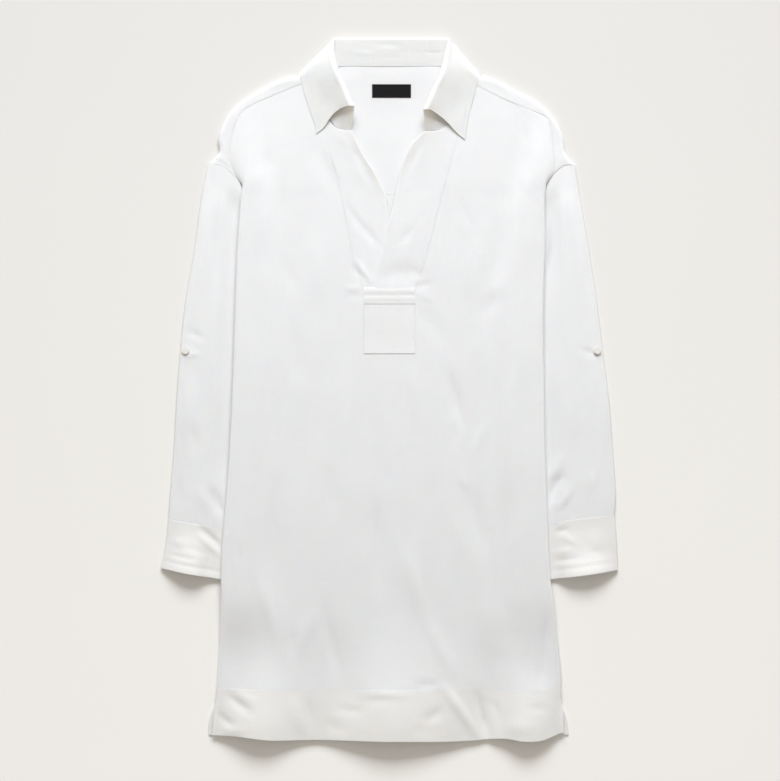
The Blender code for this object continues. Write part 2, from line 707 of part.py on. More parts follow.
def ring_place(side, stations, rows, rise, loft, floor, end_loft=0.0):
    """Flattened tube. It starts at its outer fold and runs under, to the inner fold, and back on top."""
    low, high = stations[0].y, stations[-1].y
    flat = RING_CELLS // 2

    def place(col, row):
        y = mix(low, high, row / rows)
        outer = column(stations, "y", "outer", y)
        inner = column(stations, "y", "inner", y)
        slant = column(stations, "y", "slant", y)
        bow = column(stations, "y", "bow", y)
        sign = SIGN[side]
        on_top = col > flat
        step = col if not on_top else RING_CELLS - col
        radius = rise / 2
        width = abs(outer - inner) - 2 * (radius + floor)
        if step <= 2:
            angle = pi / 2 * step / 2
            across = radius * (1 - cos(angle))
            level = 1 - sin(angle)
        elif step >= flat - 2:
            angle = pi / 2 * (flat - step) / 2
            across = width + radius * (1 + cos(angle))
            level = 1 - sin(angle)
        else:
            across = radius + width * (step - 2) / (flat - 4)
            level = 0.0
        share = across / (width + 2 * radius)
        x = outer - sign * (floor + across)
        edge = abs(column(BODY_EDGES, "y", side, y))
        outside = smooth((abs(x) - edge - 10) / 16) * smooth(across / 16)
        end = smooth((low + 62 - y) / 62) * smooth((abs(x) - edge - 9) / 28) * smooth(across / 34)
        half = (rise + loft * outside + end_loft * end) / 2
        z = floor + half * (1 - (1 - level if not on_top else level - 1))
        return x, y - slant * share + bow * sin(pi * share), z
    return place


# Collar

def collar_rows(section):
    """Points of a collar section, from the neck seam to the edge of the leaf."""
    neck, crease, edge = Vector(section.neck), Vector(section.crease), Vector(section.edge)
    sign = 1 if crease.x > 0 else -1
    turn = section.turn
    ahead = Vector((0, 1 - turn, turn)).normalized()
    leafward = Vector((sign * turn, 0, turn - 1)).normalized()
    r = section.radius
    before = crease - ahead * r - leafward * r
    after = crease - ahead * r + leafward * r
    shoulder = r * 0.3
    up_turn = crease - ahead * shoulder - leafward * r * 0.7
    down_turn = crease - ahead * shoulder + leafward * r * 0.7
    points = [neck, neck.lerp(before, 0.5), before, up_turn, crease, down_turn, after]
    for share in (0.3, 0.62, 1.0):
        bulge = sin(pi * min(share * 1.05, 1.0))
        point = after.lerp(edge, share)
        point += Vector((0, section.arch * bulge, section.belly * bulge))
        points.append(point)
    return points


def collar_place(col, row):
    sections = COLLAR["left"] + [COLLAR_MIDDLE] + COLLAR["right"][::-1]
    keys = list(range(len(sections)))
    at = col / COLLAR_COLUMNS * keys[-1]
    points = [collar_rows(section)[row] for section in sections]
    return tuple(read(keys, [point[axis] for point in points], at) for axis in range(3))


COLLAR_ROWS = 9


# Buttons

def button(side, surface):
    """Round button of the roll tab, seen nearly edge on at the outer fold of the sleeve."""
    sign = SIGN[side]
    outer = column(SLEEVES[side], "y", "outer", BUTTON_Y)
    disc = bmesh.new()
    bmesh.ops.create_cone(disc, cap_ends=True, segments=20, radius1=BUTTON_RADIUS, radius2=BUTTON_RADIUS,
                          depth=BUTTON_DEPTH)
    bmesh.ops.bevel(disc, geom=[e for e in disc.edges if e.is_boundary or e.calc_face_angle() > 1],
                    offset=0.5, segments=2, affect="EDGES")
    centre = Vector((outer - sign * BUTTON_INSET, BUTTON_Y, BUTTON_HEIGHT))
    turn = Matrix.Rotation(radians(BUTTON_TILT) * sign, 4, "Y")
    disc.transform(turn)
    for vert in disc.verts:
        vert.co = (vert.co + centre - Vector((CENTRE_X, CENTRE_Y, 0))) * MM
    mesh = bpy.data.meshes.new("tab_button_" + side)
    disc.to_mesh(mesh)
    disc.free()
    return finish("tab_button_" + side, mesh, surface)


def clear():
    for old in list(bpy.data.objects):
        bpy.data.objects.remove(old, do_unlink=True)


def build():
    clear()
    bpy.context.scene.collection.children.link(bpy.data.collections.new(COLLECTION))
    linen = material("white_linen", (0.86, 0.86, 0.85), 0.9)
    double_linen = material("double_linen", (0.88, 0.87, 0.86), 0.9)
    woven_label = material("label_weave", (0.02, 0.02, 0.022), 0.7)
    shell = material("button_shell", (0.8, 0.78, 0.74), 0.35)

    cloth("front_panel", FRONT_COLUMNS, FRONT_ROWS, front_point, WALL, linen, front_kept)
    cloth("front_hem_band", FRONT_COLUMNS, HEM_ROWS, front_hem_point, DOUBLE_WALL, double_linen)
    cloth("back_panel", BACK_COLUMNS, len(BACK_ROWS) - 1, back_point, WALL, linen)
    cloth("back_hem_band", BACK_COLUMNS, HEM_ROWS, back_hem_point, DOUBLE_WALL, double_linen)
    cloth("yoke", YOKE_COLUMNS, YOKE_ROWS, yoke_point, WALL, linen, yoke_kept)
    for side in ("left", "right"):
        cloth("placket_band_" + side, BAND_COLUMNS, BAND_ROWS, band_place(side), BAND_WALL, linen)
        cloth("sleeve_" + side, RING_CELLS, 18,
              ring_place(side, SLEEVES[side], 18, SLEEVE_RISE, SLEEVE_LOFT, WALL / 2), WALL, linen, ring=True)
        cloth("cuff_" + side, RING_CELLS, 5,
              ring_place(side, CUFFS[side], 5, CUFF_RISE, SLEEVE_LOFT, DOUBLE_WALL / 2, CUFF_END_LOFT),
              DOUBLE_WALL, double_linen, ring=True)
        button(side, shell)
    cloth("placket_box", 5, 5, patch_place(BOX_LEFT, BOX_RIGHT, BOX_BOTTOM, BOX_TOP, 5, 5, box_height),
          BAND_WALL, double_linen)
    cloth("placket_bar", 5, 2, patch_place(BOX_LEFT, BOX_RIGHT, BAR_BOTTOM, BAR_TOP, 5, 2, bar_height),
          BAND_WALL, double_linen)
    cloth("neck_label", 4, 2,
          patch_place(LABEL_LEFT, LABEL_RIGHT, LABEL_BOTTOM, LABEL_TOP, 4, 2, label_height),
          LABEL_WALL, woven_label)
    cloth("collar", COLLAR_COLUMNS, COLLAR_ROWS, collar_place, COLLAR_WALL, double_linen)


build()
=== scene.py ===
"""Linen, creases, seams and stitches of a popover dress laid flat, with its floor, light and camera.

Plan places and heights are in millimetres on the plane the dress lies on, left -X and hem -Y, and are made
metres when a piece's mesh is made. Every sheet of cloth is a grid of points on the middle of its wall: a
coarse form, much the same as its solid's, read finer on smooth curves, then creased by folds.
"""
from collections import namedtuple
from math import cos, hypot, pi, radians, sin

import bmesh
import bpy
import numpy as np
from mathutils import Matrix, Vector, noise
from mathutils.bvhtree import BVHTree


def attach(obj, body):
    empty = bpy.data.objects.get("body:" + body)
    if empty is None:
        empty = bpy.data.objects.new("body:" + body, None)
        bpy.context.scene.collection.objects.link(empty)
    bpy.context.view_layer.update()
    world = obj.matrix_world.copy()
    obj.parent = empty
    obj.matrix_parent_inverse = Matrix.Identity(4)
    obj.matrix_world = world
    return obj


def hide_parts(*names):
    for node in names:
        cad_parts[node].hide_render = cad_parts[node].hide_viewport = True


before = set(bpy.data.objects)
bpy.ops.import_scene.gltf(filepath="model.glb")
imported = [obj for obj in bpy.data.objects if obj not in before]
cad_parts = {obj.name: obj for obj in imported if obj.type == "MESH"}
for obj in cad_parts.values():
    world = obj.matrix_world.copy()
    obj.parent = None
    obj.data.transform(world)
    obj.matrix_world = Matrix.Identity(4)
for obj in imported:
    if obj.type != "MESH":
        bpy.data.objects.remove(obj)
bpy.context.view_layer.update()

bl_info = {
    "name": "Popover dress laid flat",
    "version": (1, 0, 0),
    "blender": (4, 5, 0),
    "location": "3D View > Sidebar > Dress",
    "description": "Dresses the solids of a laid popover dress in creased linen",
    "category": "Object",
}

MM = 0.001

# Plan place that becomes the middle of the scene
CENTRE_X = -0.8
CENTRE_Y = -0.25

# Cloth. A negative gap tucks one piece into the next, so that a seam is closed.
WALL = 1.2
DOUBLE_WALL = 2.0
COLLAR_WALL = 1.2
SEAM_GAP = -0.12
BAND_GAP = -0.2
RIM_SHARE = 0.3
RIM_ANGLE = radians(60)
FLOOR_MIDDLE = WALL / 2

# Side folds of the body, where the front turns under to meet the back
FOLD_RADIUS = 2.25
FOLD_LENGTH = pi * FOLD_RADIUS
LAYER_RISE = 2 * FOLD_RADIUS

# Places along the dress
FRONT_HEM_Y = -456.0
BACK_HEM_Y = -450.5
HEM_SEAM_Y = -391.0
HEM_TURN = 3.0
SLIT_FOOT_Y = 131.5
SLIT_TUCK = 4.0
YOKE_SEAM_Y = 253.0

# Forward seams and armholes
ARMHOLE_BEND = 5
DROP_INSET = 2.0
DROP_BOW = 4.5
SEAM_SETBACK = -0.02
SEAM_RIDGE = 0.22

# How far a layer rises over what lies under it
SLEEVE_LIFT = 4.9
BACK_LEAF_LIFT = 2.3
FRONT_LEAF_LIFT = 0.9
NECK_RISE = 1.2

# How far the front hem band lies below the front's own height, and its least height over the back hem
HEM_SINK = 0.3
HEM_CLEARANCE = 1.6

# Cells of the coarse forms
FOLD_CELLS = 3
SIDE_CELLS = 8
CENTRE_CELLS = 4
BACK_COLUMNS = 14
RING_CELLS = 22

Edge = namedtuple("Edge", "y left right")
BODY_EDGES = [
    Edge(-456, -227.5, 222.0),
    Edge(-430, -225.0, 221.0),
    Edge(-404, -226.0, 222.0),
    Edge(-378, -225.0, 223.5),
    Edge(-326, -222.0, 218.5),
    Edge(-274, -220.0, 212.5),
    Edge(-235, -220.0, 207.5),
    Edge(-196, -218.0, 206.0),
    Edge(-144, -214.0, 204.0),
    Edge(-79, -209.0, 201.5),
    Edge(51, -203.5, 200.0),
    Edge(116, -201.5, 200.0),
    Edge(181, -199.0, 201.5),
    Edge(246, -194.5, 201.5),
    Edge(291, -188.5, 205.5),
    Edge(337, -189.5, 205.0),
    Edge(361, -189.0, 200.0),
]
BACK_HEM_EDGES = [
    Edge(-451, -236.0, 232.5),
    Edge(-436, -236.3, 231.5),
    Edge(-420, -232.5, 227.5),
    Edge(-404, -224.0, 219.0),
    Edge(-391, -221.0, 220.0),
]

HemPoint = namedtuple("HemPoint", "x y")
FRONT_HEM = [
    HemPoint(-228, -450.5),
    HemPoint(-192, -451.0),
    HemPoint(-164, -454.6),
    HemPoint(-133, -456.3),
    HemPoint(-60, -456.5),
    HemPoint(13, -456.5),
    HemPoint(73, -457.9),
    HemPoint(113, -457.0),
    HemPoint(150, -454.0),
    HemPoint(190, -457.0),
    HemPoint(223, -447.5),
]

Arch = namedtuple("Arch", "crest left_end right_end height top")
HEM_ARCHES = [
    Arch(-172, -232, -100, 15.0, -290),
    Arch(0, -100, 126, 16.0, -262),
    Arch(176, 126, 228, 14.5, -300),
]

Fold = namedtuple("Fold", "x0 y0 x1 y1 width height")
FRONT_FOLDS = [
    Fold(173, 344, 152, 216, 13, -1.6),
    Fold(152, 220, 138, 141, 12, -1.4),
    Fold(192, 330, 180, 170, 10, 0.9),
    Fold(202, -305, 199, -388, 7, -1.6),
    Fold(-118, -300, -100, -392, 16, -0.8),
    Fold(20, -60, 30, -270, 26, 0.8),
    Fold(-70, 20, -90, -240, 24, 0.7),
]

# A sleeve station runs from its outer fold at y to its inner fold, which lies lower by slant. bow lifts its
# middle towards the shoulder.
Station = namedtuple("Station", "y outer inner slant bow", defaults=(0.0,))
SLEEVES = {
    "left": [
        Station(-172.0, -288.4, -186.0, 17.9),
        Station(-144, -287.0, -184.0, 14.0),
        Station(-79, -281.5, -178.0, 11.0),
        Station(-14, -278.0, -173.0, 10.0),
        Station(51, -273.0, -170.0, 9.0),
        Station(116, -266.0, -170.0, 10.0),
        Station(181, -255.0, -174.0, 10.0),
        Station(246, -246.0, -184.0, 13.0, 1.0),
        Station(280, -239.3, -191.5, 18.0, 4.0),
        Station(293.6, -235.6, -196.5, 18.4, 5.4),
    ],
    "right": [
        Station(-166.2, 292.2, 179.0, 13.5),
        Station(-144, 294.0, 178.0, 12.0),
        Station(-79, 290.0, 175.0, 11.0),
        Station(-14, 285.0, 173.0, 10.0),
        Station(51, 277.0, 172.0, 9.0),
        Station(116, 269.0, 176.0, 10.0),
        Station(181, 259.0, 184.0, 10.0),
        Station(246, 248.0, 193.0, 10.0, 2.0),
        Station(278, 242.6, 203.5, 11.0, 5.4),
        Station(290.8, 240.9, 208.5, 10.6, 6.6),
    ],
}
CUFFS = {
    "left": [
        Station(-233.4, -298.4, -190.0, 20.0),
        Station(-214, -294.6, -189.0, 19.0),
        Station(-196, -291.2, -188.0, 18.2),
        Station(-169.4, -288.8, -186.4, 18.0),
    ],
    "right": [
        Station(-235.7, 296.8, 182.0, 16.0),
        Station(-216, 296.0, 181.0, 15.0),
        Station(-196, 295.0, 180.0, 14.2),
        Station(-163.4, 292.4, 179.2, 13.6),
    ],
}

# Top of a sleeve's puffed part, the rise of its head under the yoke, and the depth of its valley beside the
# body
HEAD_Y = 280
HEAD_RISE = 0.9
VALLEY_DIP = 1.9

# A shoulder column of the yoke runs from the back seam, under the forward seam, round the fold at the
# silhouette and back to the forward seam. The first is the armhole edge and the last the neck edge.
Shoulder = namedtuple("Shoulder", "seam_x seam_y fold_x fold_y back_x bow", defaults=(0.0,))
SHOULDERS = {
    "left": [
        Shoulder(-198.6, 274.2, -236.0, 292.8, -184, 5.7),
        Shoulder(-206.0, 291.0, -229.0, 299.0, -183, 1.0),
        Shoulder(-209.0, 308.0, -222.3, 309.5, -179),
        Shoulder(-206.8, 323.0, -224.0, 326.5, -176),
        Shoulder(-203.0, 338.0, -217.5, 344.5, -170),
        Shoulder(-198.0, 353.0, -207.5, 361.0, -160),
        Shoulder(-190.5, 363.0, -192.0, 375.5, -150),
        Shoulder(-177.0, 371.0, -176.5, 385.5, -138),
        Shoulder(-160.0, 378.5, -160.0, 394.5, -126),
        Shoulder(-143.5, 385.5, -143.5, 402.5, -114),
        Shoulder(-127.0, 392.0, -127.0, 407.2, -102),
        Shoulder(-114.0, 396.6, -114.0, 409.0, -92),
        Shoulder(-101.0, 400.0, -100.0, 410.8, -82),
        Shoulder(-91.0, 402.0, -88.5, 411.0, -74),
    ],
    "right": [
        Shoulder(212.4, 279.0, 241.5, 289.9, 190, 7.0),
        Shoulder(214.6, 293.0, 234.0, 298.5, 188, 1.0),
        Shoulder(213.2, 306.0, 227.5, 311.0, 183),
        Shoulder(210.8, 321.0, 225.0, 327.5, 180),
        Shoulder(209.0, 337.0, 217.0, 347.5, 172),
        Shoulder(206.0, 350.0, 206.0, 360.0, 162),
        Shoulder(199.5, 356.5, 193.0, 372.0, 152),
        Shoulder(185.0, 361.8, 179.0, 381.0, 140),
        Shoulder(171.0, 367.5, 165.0, 388.0, 128),
        Shoulder(156.0, 374.2, 151.0, 395.5, 116),
        Shoulder(142.0, 380.5, 137.0, 402.5, 104),
        Shoulder(127.0, 387.6, 124.0, 406.5, 94),
        Shoulder(113.0, 394.0, 112.0, 407.5, 84),
        Shoulder(92.0, 401.0, 89.5, 410.5, 74),
    ],
}
NeckColumn = namedtuple("NeckColumn", "x y back_x")
NECK_COLUMNS = [
    NeckColumn(-84.0, 411.0, -64),
    NeckColumn(-74.0, 416.6, -57),
    NeckColumn(-64.0, 420.6, -48),
    NeckColumn(-40.0, 421.4, -30),
    NeckColumn(-13.0, 421.4, -10),
    NeckColumn(14.0, 421.4, 10),
    NeckColumn(42.0, 421.4, 30),
    NeckColumn(65.0, 420.6, 48),
    NeckColumn(75.0, 416.6, 57),
    NeckColumn(85.0, 410.6, 64),
]

# Seams between the front and its placket bands, then the front's own neck edge
Seam = namedtuple("Seam", "y left right")
BAND_SEAMS = [
    Seam(-391, -36.0, 35.0),
    Seam(40, -34.4, 33.4),
    Seam(131.5, -34.4, 33.4),
    Seam(168, -47.0, 46.0),
    Seam(240, -61.0, 64.0),
    Seam(300, -75.5, 80.0),
    Seam(340, -85.5, 89.0),
    Seam(372, -86.0, 88.0),
    Seam(386, -89.0, 90.5),
    Seam(401.5, -91.0, 92.0),
]
BAND_TOP_Y = 370.4
BAND_DIP = 16.0
LIP_RISE = 3.4
UNDERLAP_TUCK = 1.8

Lip = namedtuple("Lip", "x y")
FREE_EDGES = {
    "left": [Lip(30, 128.5), Lip(14, 166), Lip(4, 198), Lip(-2.6, 229), Lip(-5.5, 254), Lip(-12, 266),
             Lip(-23, 286), Lip(-31, 298), Lip(-40, 313), Lip(-49, 336.2)],
    "right": [Lip(-19.5, 128.5), Lip(-16, 150), Lip(-10, 181), Lip(-3, 212), Lip(4, 239), Lip(8, 259),
              Lip(12, 278), Lip(18, 298), Lip(29, 319), Lip(45, 334.6)],
}

BOX_LEFT = -34.0
BOX_RIGHT = 32.8
BOX_BOTTOM = 46.0
BOX_TOP = 129.0
BAR_BOTTOM = 110.5
BAR_TOP = 131.6
BAR_STITCH_Y = 122.0
PATCH_WALL = 0.9
PATCH_COLUMNS = 5
BOX_HEIGHT = FLOOR_MIDDLE + LAYER_RISE + WALL / 2 - PATCH_WALL * 0.2
BAR_HEIGHT = BOX_HEIGHT + PATCH_WALL * 0.5

# A collar section runs from the neck seam up the stand to the crease and down the leaf to its edge.
# turn is 0 where the crease points away from the neck and 1 where it points up.
Section = namedtuple("Section", "neck crease edge turn radius arch sag")
COLLAR = {
    "left": [
        Section((-51.0, 334.5, 2.6), (-50.0, 366.0, 20.0), (-95.8, 331.5, 8.4), 1.0, 2.4, 6.7, 0.6),
        Section((-62.0, 335.0, 2.9), (-54.0, 374.0, 19.6), (-98.0, 344.0, 8.2), 1.0, 2.4, 5.0, 1.0),
        Section((-76.0, 347.0, 4.4), (-61.0, 390.5, 17.8), (-104.5, 361.5, 8.0), 1.0, 2.5, 1.0, 1.4),
        Section((-84.0, 371.0, 6.0), (-68.5, 406.5, 16.5), (-110.5, 380.0, 8.0), 1.0, 2.6, 0.0, 1.6),
        Section((-87.5, 392.0, 7.0), (-74.0, 423.0, 14.0), (-115.0, 397.5, 8.2), 1.0, 2.7, 0.0, 1.2),
        Section((-84.0, 403.0, 6.6), (-76.0, 438.0, 11.6), (-117.0, 405.5, 8.4), 0.85, 2.7, 0.0, 1.0),
        Section((-78.5, 411.5, 5.8), (-75.0, 450.0, 8.6), (-118.0, 409.5, 6.2), 0.6, 2.6, 0.0, 0.4),
        Section((-71.5, 417.2, 4.9), (-72.5, 456.0, 5.6), (-116.0, 411.6, 2.6), 0.25, 2.4, 0.0, 0.0),
        Section((-61.0, 419.3, 4.4), (-63.0, 456.5, 3.9), (-103.0, 411.8, 0.95), 0.0, 2.4, 0.0, 0.0),
        Section((-30.0, 419.3, 4.35), (-32.0, 456.5, 3.4), (-52.0, 411.5, 0.85), 0.0, 2.4, 0.0, 0.0),
    ],
    "right": [
        Section((47.0, 335.0, 3.4), (46.8, 361.5, 20.0), (97.5, 324.0, 8.4), 1.0, 2.4, 3.4, 0.6),
        Section((59.0, 335.0, 3.6), (51.0, 370.0, 19.6), (99.6, 338.0, 8.2), 1.0, 2.4, 6.0, 1.0),
        Section((74.0, 342.0, 4.4), (58.5, 387.5, 17.8), (103.0, 358.0, 8.0), 1.0, 2.5, 1.0, 1.4),
        Section((84.0, 369.0, 6.0), (67.0, 404.5, 16.5), (108.5, 377.0, 8.0), 1.0, 2.6, 0.0, 1.6),
        Section((88.0, 392.0, 7.0), (72.0, 421.0, 14.0), (112.5, 394.0, 8.2), 1.0, 2.7, 0.0, 1.2),
        Section((85.0, 403.0, 6.6), (75.0, 437.0, 11.6), (114.5, 402.5, 8.4), 0.85, 2.7, 0.0, 1.0),
        Section((79.5, 411.3, 5.8), (77.5, 449.0, 8.6), (116.0, 407.5, 6.2), 0.6, 2.6, 0.0, 0.4),
        Section((73.0, 417.2, 4.8), (77.0, 455.5, 5.6), (115.0, 410.6, 2.6), 0.25, 2.4, 0.0, 0.0),
        Section((63.0, 419.3, 4.4), (66.0, 456.5, 3.9), (103.0, 411.5, 0.95), 0.0, 2.4, 0.0, 0.0),
        Section((32.0, 419.3, 4.35), (34.0, 456.5, 3.4), (54.0, 411.5, 0.85), 0.0, 2.4, 0.0, 0.0),
    ],
}
COLLAR_MIDDLE = Section((2.0, 419.3, 4.35), (2.0, 456.5, 3.4), (2.0, 411.5, 0.85), 0.0, 2.4, 0.0, 0.0)
COLLAR_COLUMNS = 46
COLLAR_ROWS = 10
COLLAR_CREST_ROW = 4
LEAF_HOLLOW = 0.8
LEAF_STEPS = ((0.25, 0.8), (0.5, 0.85), (0.75, 0.0), (1.0, 0.0))
LEAF_SINK = 2.0

LABEL_LEFT, LABEL_RIGHT = -23.4, 27.3
LABEL_BOTTOM, LABEL_TOP = 379.0, 396.5
LABEL_WALL = 0.6
LABEL_LIFT = WALL / 2 + SEAM_GAP + LABEL_WALL / 2

SIGN = {"left": -1, "right": 1}

# Creases, each a curve through three places. Height is above the cloth, or below it where negative, and
# lean makes the side to the left of its run steeper where positive.
Crease = namedtuple("Crease", "x0 y0 x1 y1 x2 y2 width height lean", defaults=(0.0,))
CREASE_RUN = 1.35
BODY_CREASES = [
    # about the neck slit and the box
    Crease(-58, 245, -38, 214, -14, 188, 6, -0.5, 0.3),
    Crease(-30, 218, -24, 204, -16, 190, 5, -0.3, 0.3),
    Crease(-50, 164, -42, 152, -34, 141, 5, -0.55, 0.3),
    Crease(-52, 326, -36, 294, -18, 258, 8, -0.9),
    Crease(46, 322, 30, 300, 20, 272, 7, -0.6),
    Crease(-44, 168, -33, 152, -24, 137, 4, 0.6),
    Crease(-58, 121, -47, 120, -38, 122, 5, -0.3),
    Crease(-58, 130, -48, 131, -38, 130, 4, 0.4),
    Crease(10, 186, 22, 200, 32, 214, 6, -0.45),
    Crease(-14, 144, 12, 150, 40, 152, 15, -0.8),
    Crease(26, 156, 36, 150, 50, 146, 8, -0.35),
    Crease(31, 134, 42, 135, 56, 139, 5, -0.55),
    Crease(36, 123, 48, 120, 60, 112, 5, 0.35),
    Crease(36, 104, 54, 84, 76, 56, 12, -0.45),
    # chest
    Crease(-98, 322, -80, 284, -62, 250, 12, -0.7, 0.2),
    Crease(-142, 170, -130, 148, -119, 122, 11, -0.5),
    Crease(-128, 84, -124, 48, -116, 10, 12, -0.7),
    Crease(-100, 190, -92, 150, -96, 100, 14, 0.5),
    Crease(148, 126, 130, 108, 114, 92, 11, -0.5),
    Crease(90, 250, 98, 228, 104, 212, 5, -0.5),
    Crease(110, 190, 104, 150, 110, 120, 12, 0.5),
    Crease(172, 330, 168, 250, 158, 170, 9, 0.8),
    Crease(154, 60, 152, 24, 146, -14, 9, -0.6, 0.2),
    Crease(80, 20, 86, -14, 94, -48, 9, -1.5, 0.2),
    Crease(30, 24, 32, -10, 36, -50, 8, 0.5),
    Crease(-150, 330, -146, 270, -152, 210, 18, 0.5),
    # skirt of the front
    Crease(-82, -104, -78, -132, -72, -166, 11, -0.5),
    Crease(-22, -150, -16, -205, -18, -266, 15, -1.5),
    Crease(-84, -275, -75, -326, -64, -378, 9, -1.1, 0.3),
    Crease(-68, -316, -60, -378, -50, -442, 32, -2.2),
    Crease(-104, -290, -112, -318, -118, -346, 10, 0.8),
    Crease(-129, -314, -127, -330, -129, -346, 5, -0.7),
    Crease(-200, -306, -195, -372, -190, -438, 31, -1.7),
    Crease(-176, -230, -160, -280, -146, -330, 10, 0.9),
    Crease(-168, -210, -150, -270, -148, -330, 15, 0.6),
    Crease(122, -310, 130, -376, 134, -440, 32, -2.2),
    Crease(203, -290, 201, -335, 198, -386, 4.5, -1.8),
    Crease(98, -126, 112, -170, 122, -220, 14, -1.1),
    Crease(92, -214, 88, -250, 90, -290, 9, -0.7),
    Crease(84, -170, 89, -190, 94, -210, 3.5, 0.5),
    Crease(90, -112, 95, -120, 101, -130, 3.5, 0.5),
    Crease(20, -206, 32, -254, 46, -310, 11, 1.1),
    Crease(52, -300, 66, -336, 84, -372, 10, 0.9),
    Crease(128, -40, 116, -66, 106, -90, 8, 0.5),
    Crease(84, -44, 84, -62, 82, -80, 6, -0.5),
    Crease(-140, -60, -146, -120, -140, -180, 15, 0.5),
    Crease(-110, -40, -112, -90, -108, -140, 12, -0.4),
    Crease(172, -140, 176, -200, 172, -256, 12, 0.5),
    Crease(150, -120, 152, -170, 148, -222, 10, -0.5),
    Crease(-199, -200, -197, -214, -195, -228, 5, -0.5),
    # hem
    Crease(-212, -396, -197, -408, -180, -420, 7, -1.2, 0.2),
    Crease(-198, -392, -186, -401, -172, -410, 7, 0.6),
    Crease(-226, -418, -214, -430, -198, -440, 6, -1.0, 0.2),
    Crease(-216, -440, -204, -442, -188, -441, 7, 0.8),
    Crease(-128, -400, -122, -424, -112, -448, 10, 0.8),
    Crease(-107, -398, -104, -420, -100, -440, 8, -0.7),
    Crease(-70, -412, -50, -418, -30, -414, 7, -0.5),
    Crease(-84, -434, -68, -440, -54, -441, 9, -0.5),
    Crease(-40, -408, -18, -403, 4, -406, 8, -0.4),
    Crease(-34, -398, -4, -396, 30, -398, 5, 0.6),
    Crease(42, -432, 56, -424, 70, -416, 9, -0.9),
    Crease(30, -444, 44, -442, 60, -444, 9, -0.4),
    Crease(70, -386, 92, -416, 116, -454, 7, 1.6, 0.2),
    Crease(112, -396, 122, -424, 128, -458, 8, -1.9, 0.2),
    Crease(124, -408, 140, -420, 142, -450, 7, -0.7),
    Crease(34, -382, 48, -385, 62, -382, 7, -0.6),
    Crease(176, -410, 190, -415, 204, -412, 6, -0.4),
    Crease(150, -442, 168, -438, 186, -442, 10, 0.5),
]
SLEEVE_CREASES = [
    Crease(-222, 262, -226, 200, -229, 130, 7, -0.9),
    Crease(-238, 250, -245, 175, -252, 100, 9, 0.7),
    Crease(-262, 78, -252, 70, -240, 66, 6, -0.6),
    Crease(-268, 38, -258, 45, -246, 43, 4, 0.7),
    Crease(-262, 22, -262, -20, -266, -60, 9, 0.6),
    Crease(-256, -46, -254, -66, -255, -86, 7, -0.8),
    Crease(-240, 20, -238, -40, -240, -100, 9, -0.6),
    Crease(-222, 40, -224, -10, -226, -60, 8, 0.5),
    Crease(-230, -130, -224, -148, -217, -164, 7, -1.4, 0.2),
    Crease(-246, -128, -243, -144, -238, -160, 7, 0.7),
    Crease(-274, -120, -272, -140, -273, -158, 7, -0.5),
    Crease(218, 254, 211, 200, 207, 147, 8, -0.9),
    Crease(236, 250, 244, 180, 250, 110, 9, 0.6),
    Crease(248, 52, 260, 47, 270, 44, 5, -0.7),
    Crease(262, 4, 264, -48, 270, -100, 8, -0.6),
    Crease(228, 34, 230, -20, 232, -70, 11, 0.7),
    Crease(246, 10, 248, -50, 250, -100, 8, -0.4),
    Crease(221, -84, 216, -102, 209, -116, 6, 1.1),
    Crease(226, -114, 215, -127, 208, -152, 6, -1.9, 0.2),
    Crease(234, -124, 227, -142, 217, -156, 6, 1.1),
    Crease(262, -108, 264, -120, 263, -134, 5, 0.6),
    Crease(282, -60, 284, -100, 284, -140, 7, -0.5),
]
CUFF_CREASES = [
    Crease(-249, -180, -233, -192, -217, -209, 6, -1.5, 0.2),
    Crease(-250, -189, -235, -203, -221, -217, 5, 1.1),
    Crease(-286, -214, -267, -219, -248, -221, 3.5, -0.7),
    Crease(-284, -194, -273, -200, -262, -198, 6, 0.7),
    Crease(-264, -206, -250, -210, -236, -215, 5, -0.6),
    Crease(-297, -222.5, -256, -230.5, -210, -239.5, 2.4, -0.6),
    Crease(-299, -232, -256, -240.5, -210, -249.5, 8, 0.9),
    Crease(214, -186, 224, -184, 234, -181, 5, -1.0),
    Crease(224, -191, 233, -196, 241, -201, 5, 0.9),
    Crease(249, -184, 253, -198, 256, -212, 9, -0.5),
    Crease(260, -210, 268, -212, 277, -214, 5, -0.4),
    Crease(212, -224, 230, -222, 248, -219, 4, -0.9),
    Crease(262, -196, 272, -200, 284, -198, 7, 0.2),
    Crease(210, -212, 226, -211, 238, -208, 5, 0.7),
    Crease(296, -224.7, 252, -230.5, 204, -236.7, 2.4, -0.6),
    Crease(298, -234, 252, -240.5, 204, -246.5, 8, 0.9),
    Crease(232, -218, 260, -215, 290, -211, 18, -2.5),
]
COLLAR_CREASES = [
    Crease(-20, 447, -3, 448, 14, 446, 5, -0.5),
    Crease(44, 438, 56, 437, 68, 438, 2.4, -0.35),
    Crease(-10, 429, 8, 430, 27, 428, 3, -0.35),
    Crease(-52, 440, -36, 436, -20, 436, 5, 0.3),
    Crease(-95, 404, -91, 380, -84, 356, 14, -0.8),
    Crease(94, 402, 91, 378, 88, 350, 14, -0.8),
    Crease(-110, 372, -102, 356, -97, 342, 3.5, 0.5),
    Crease(107, 368, 102, 352, 100, 336, 3.5, 0.5),
]
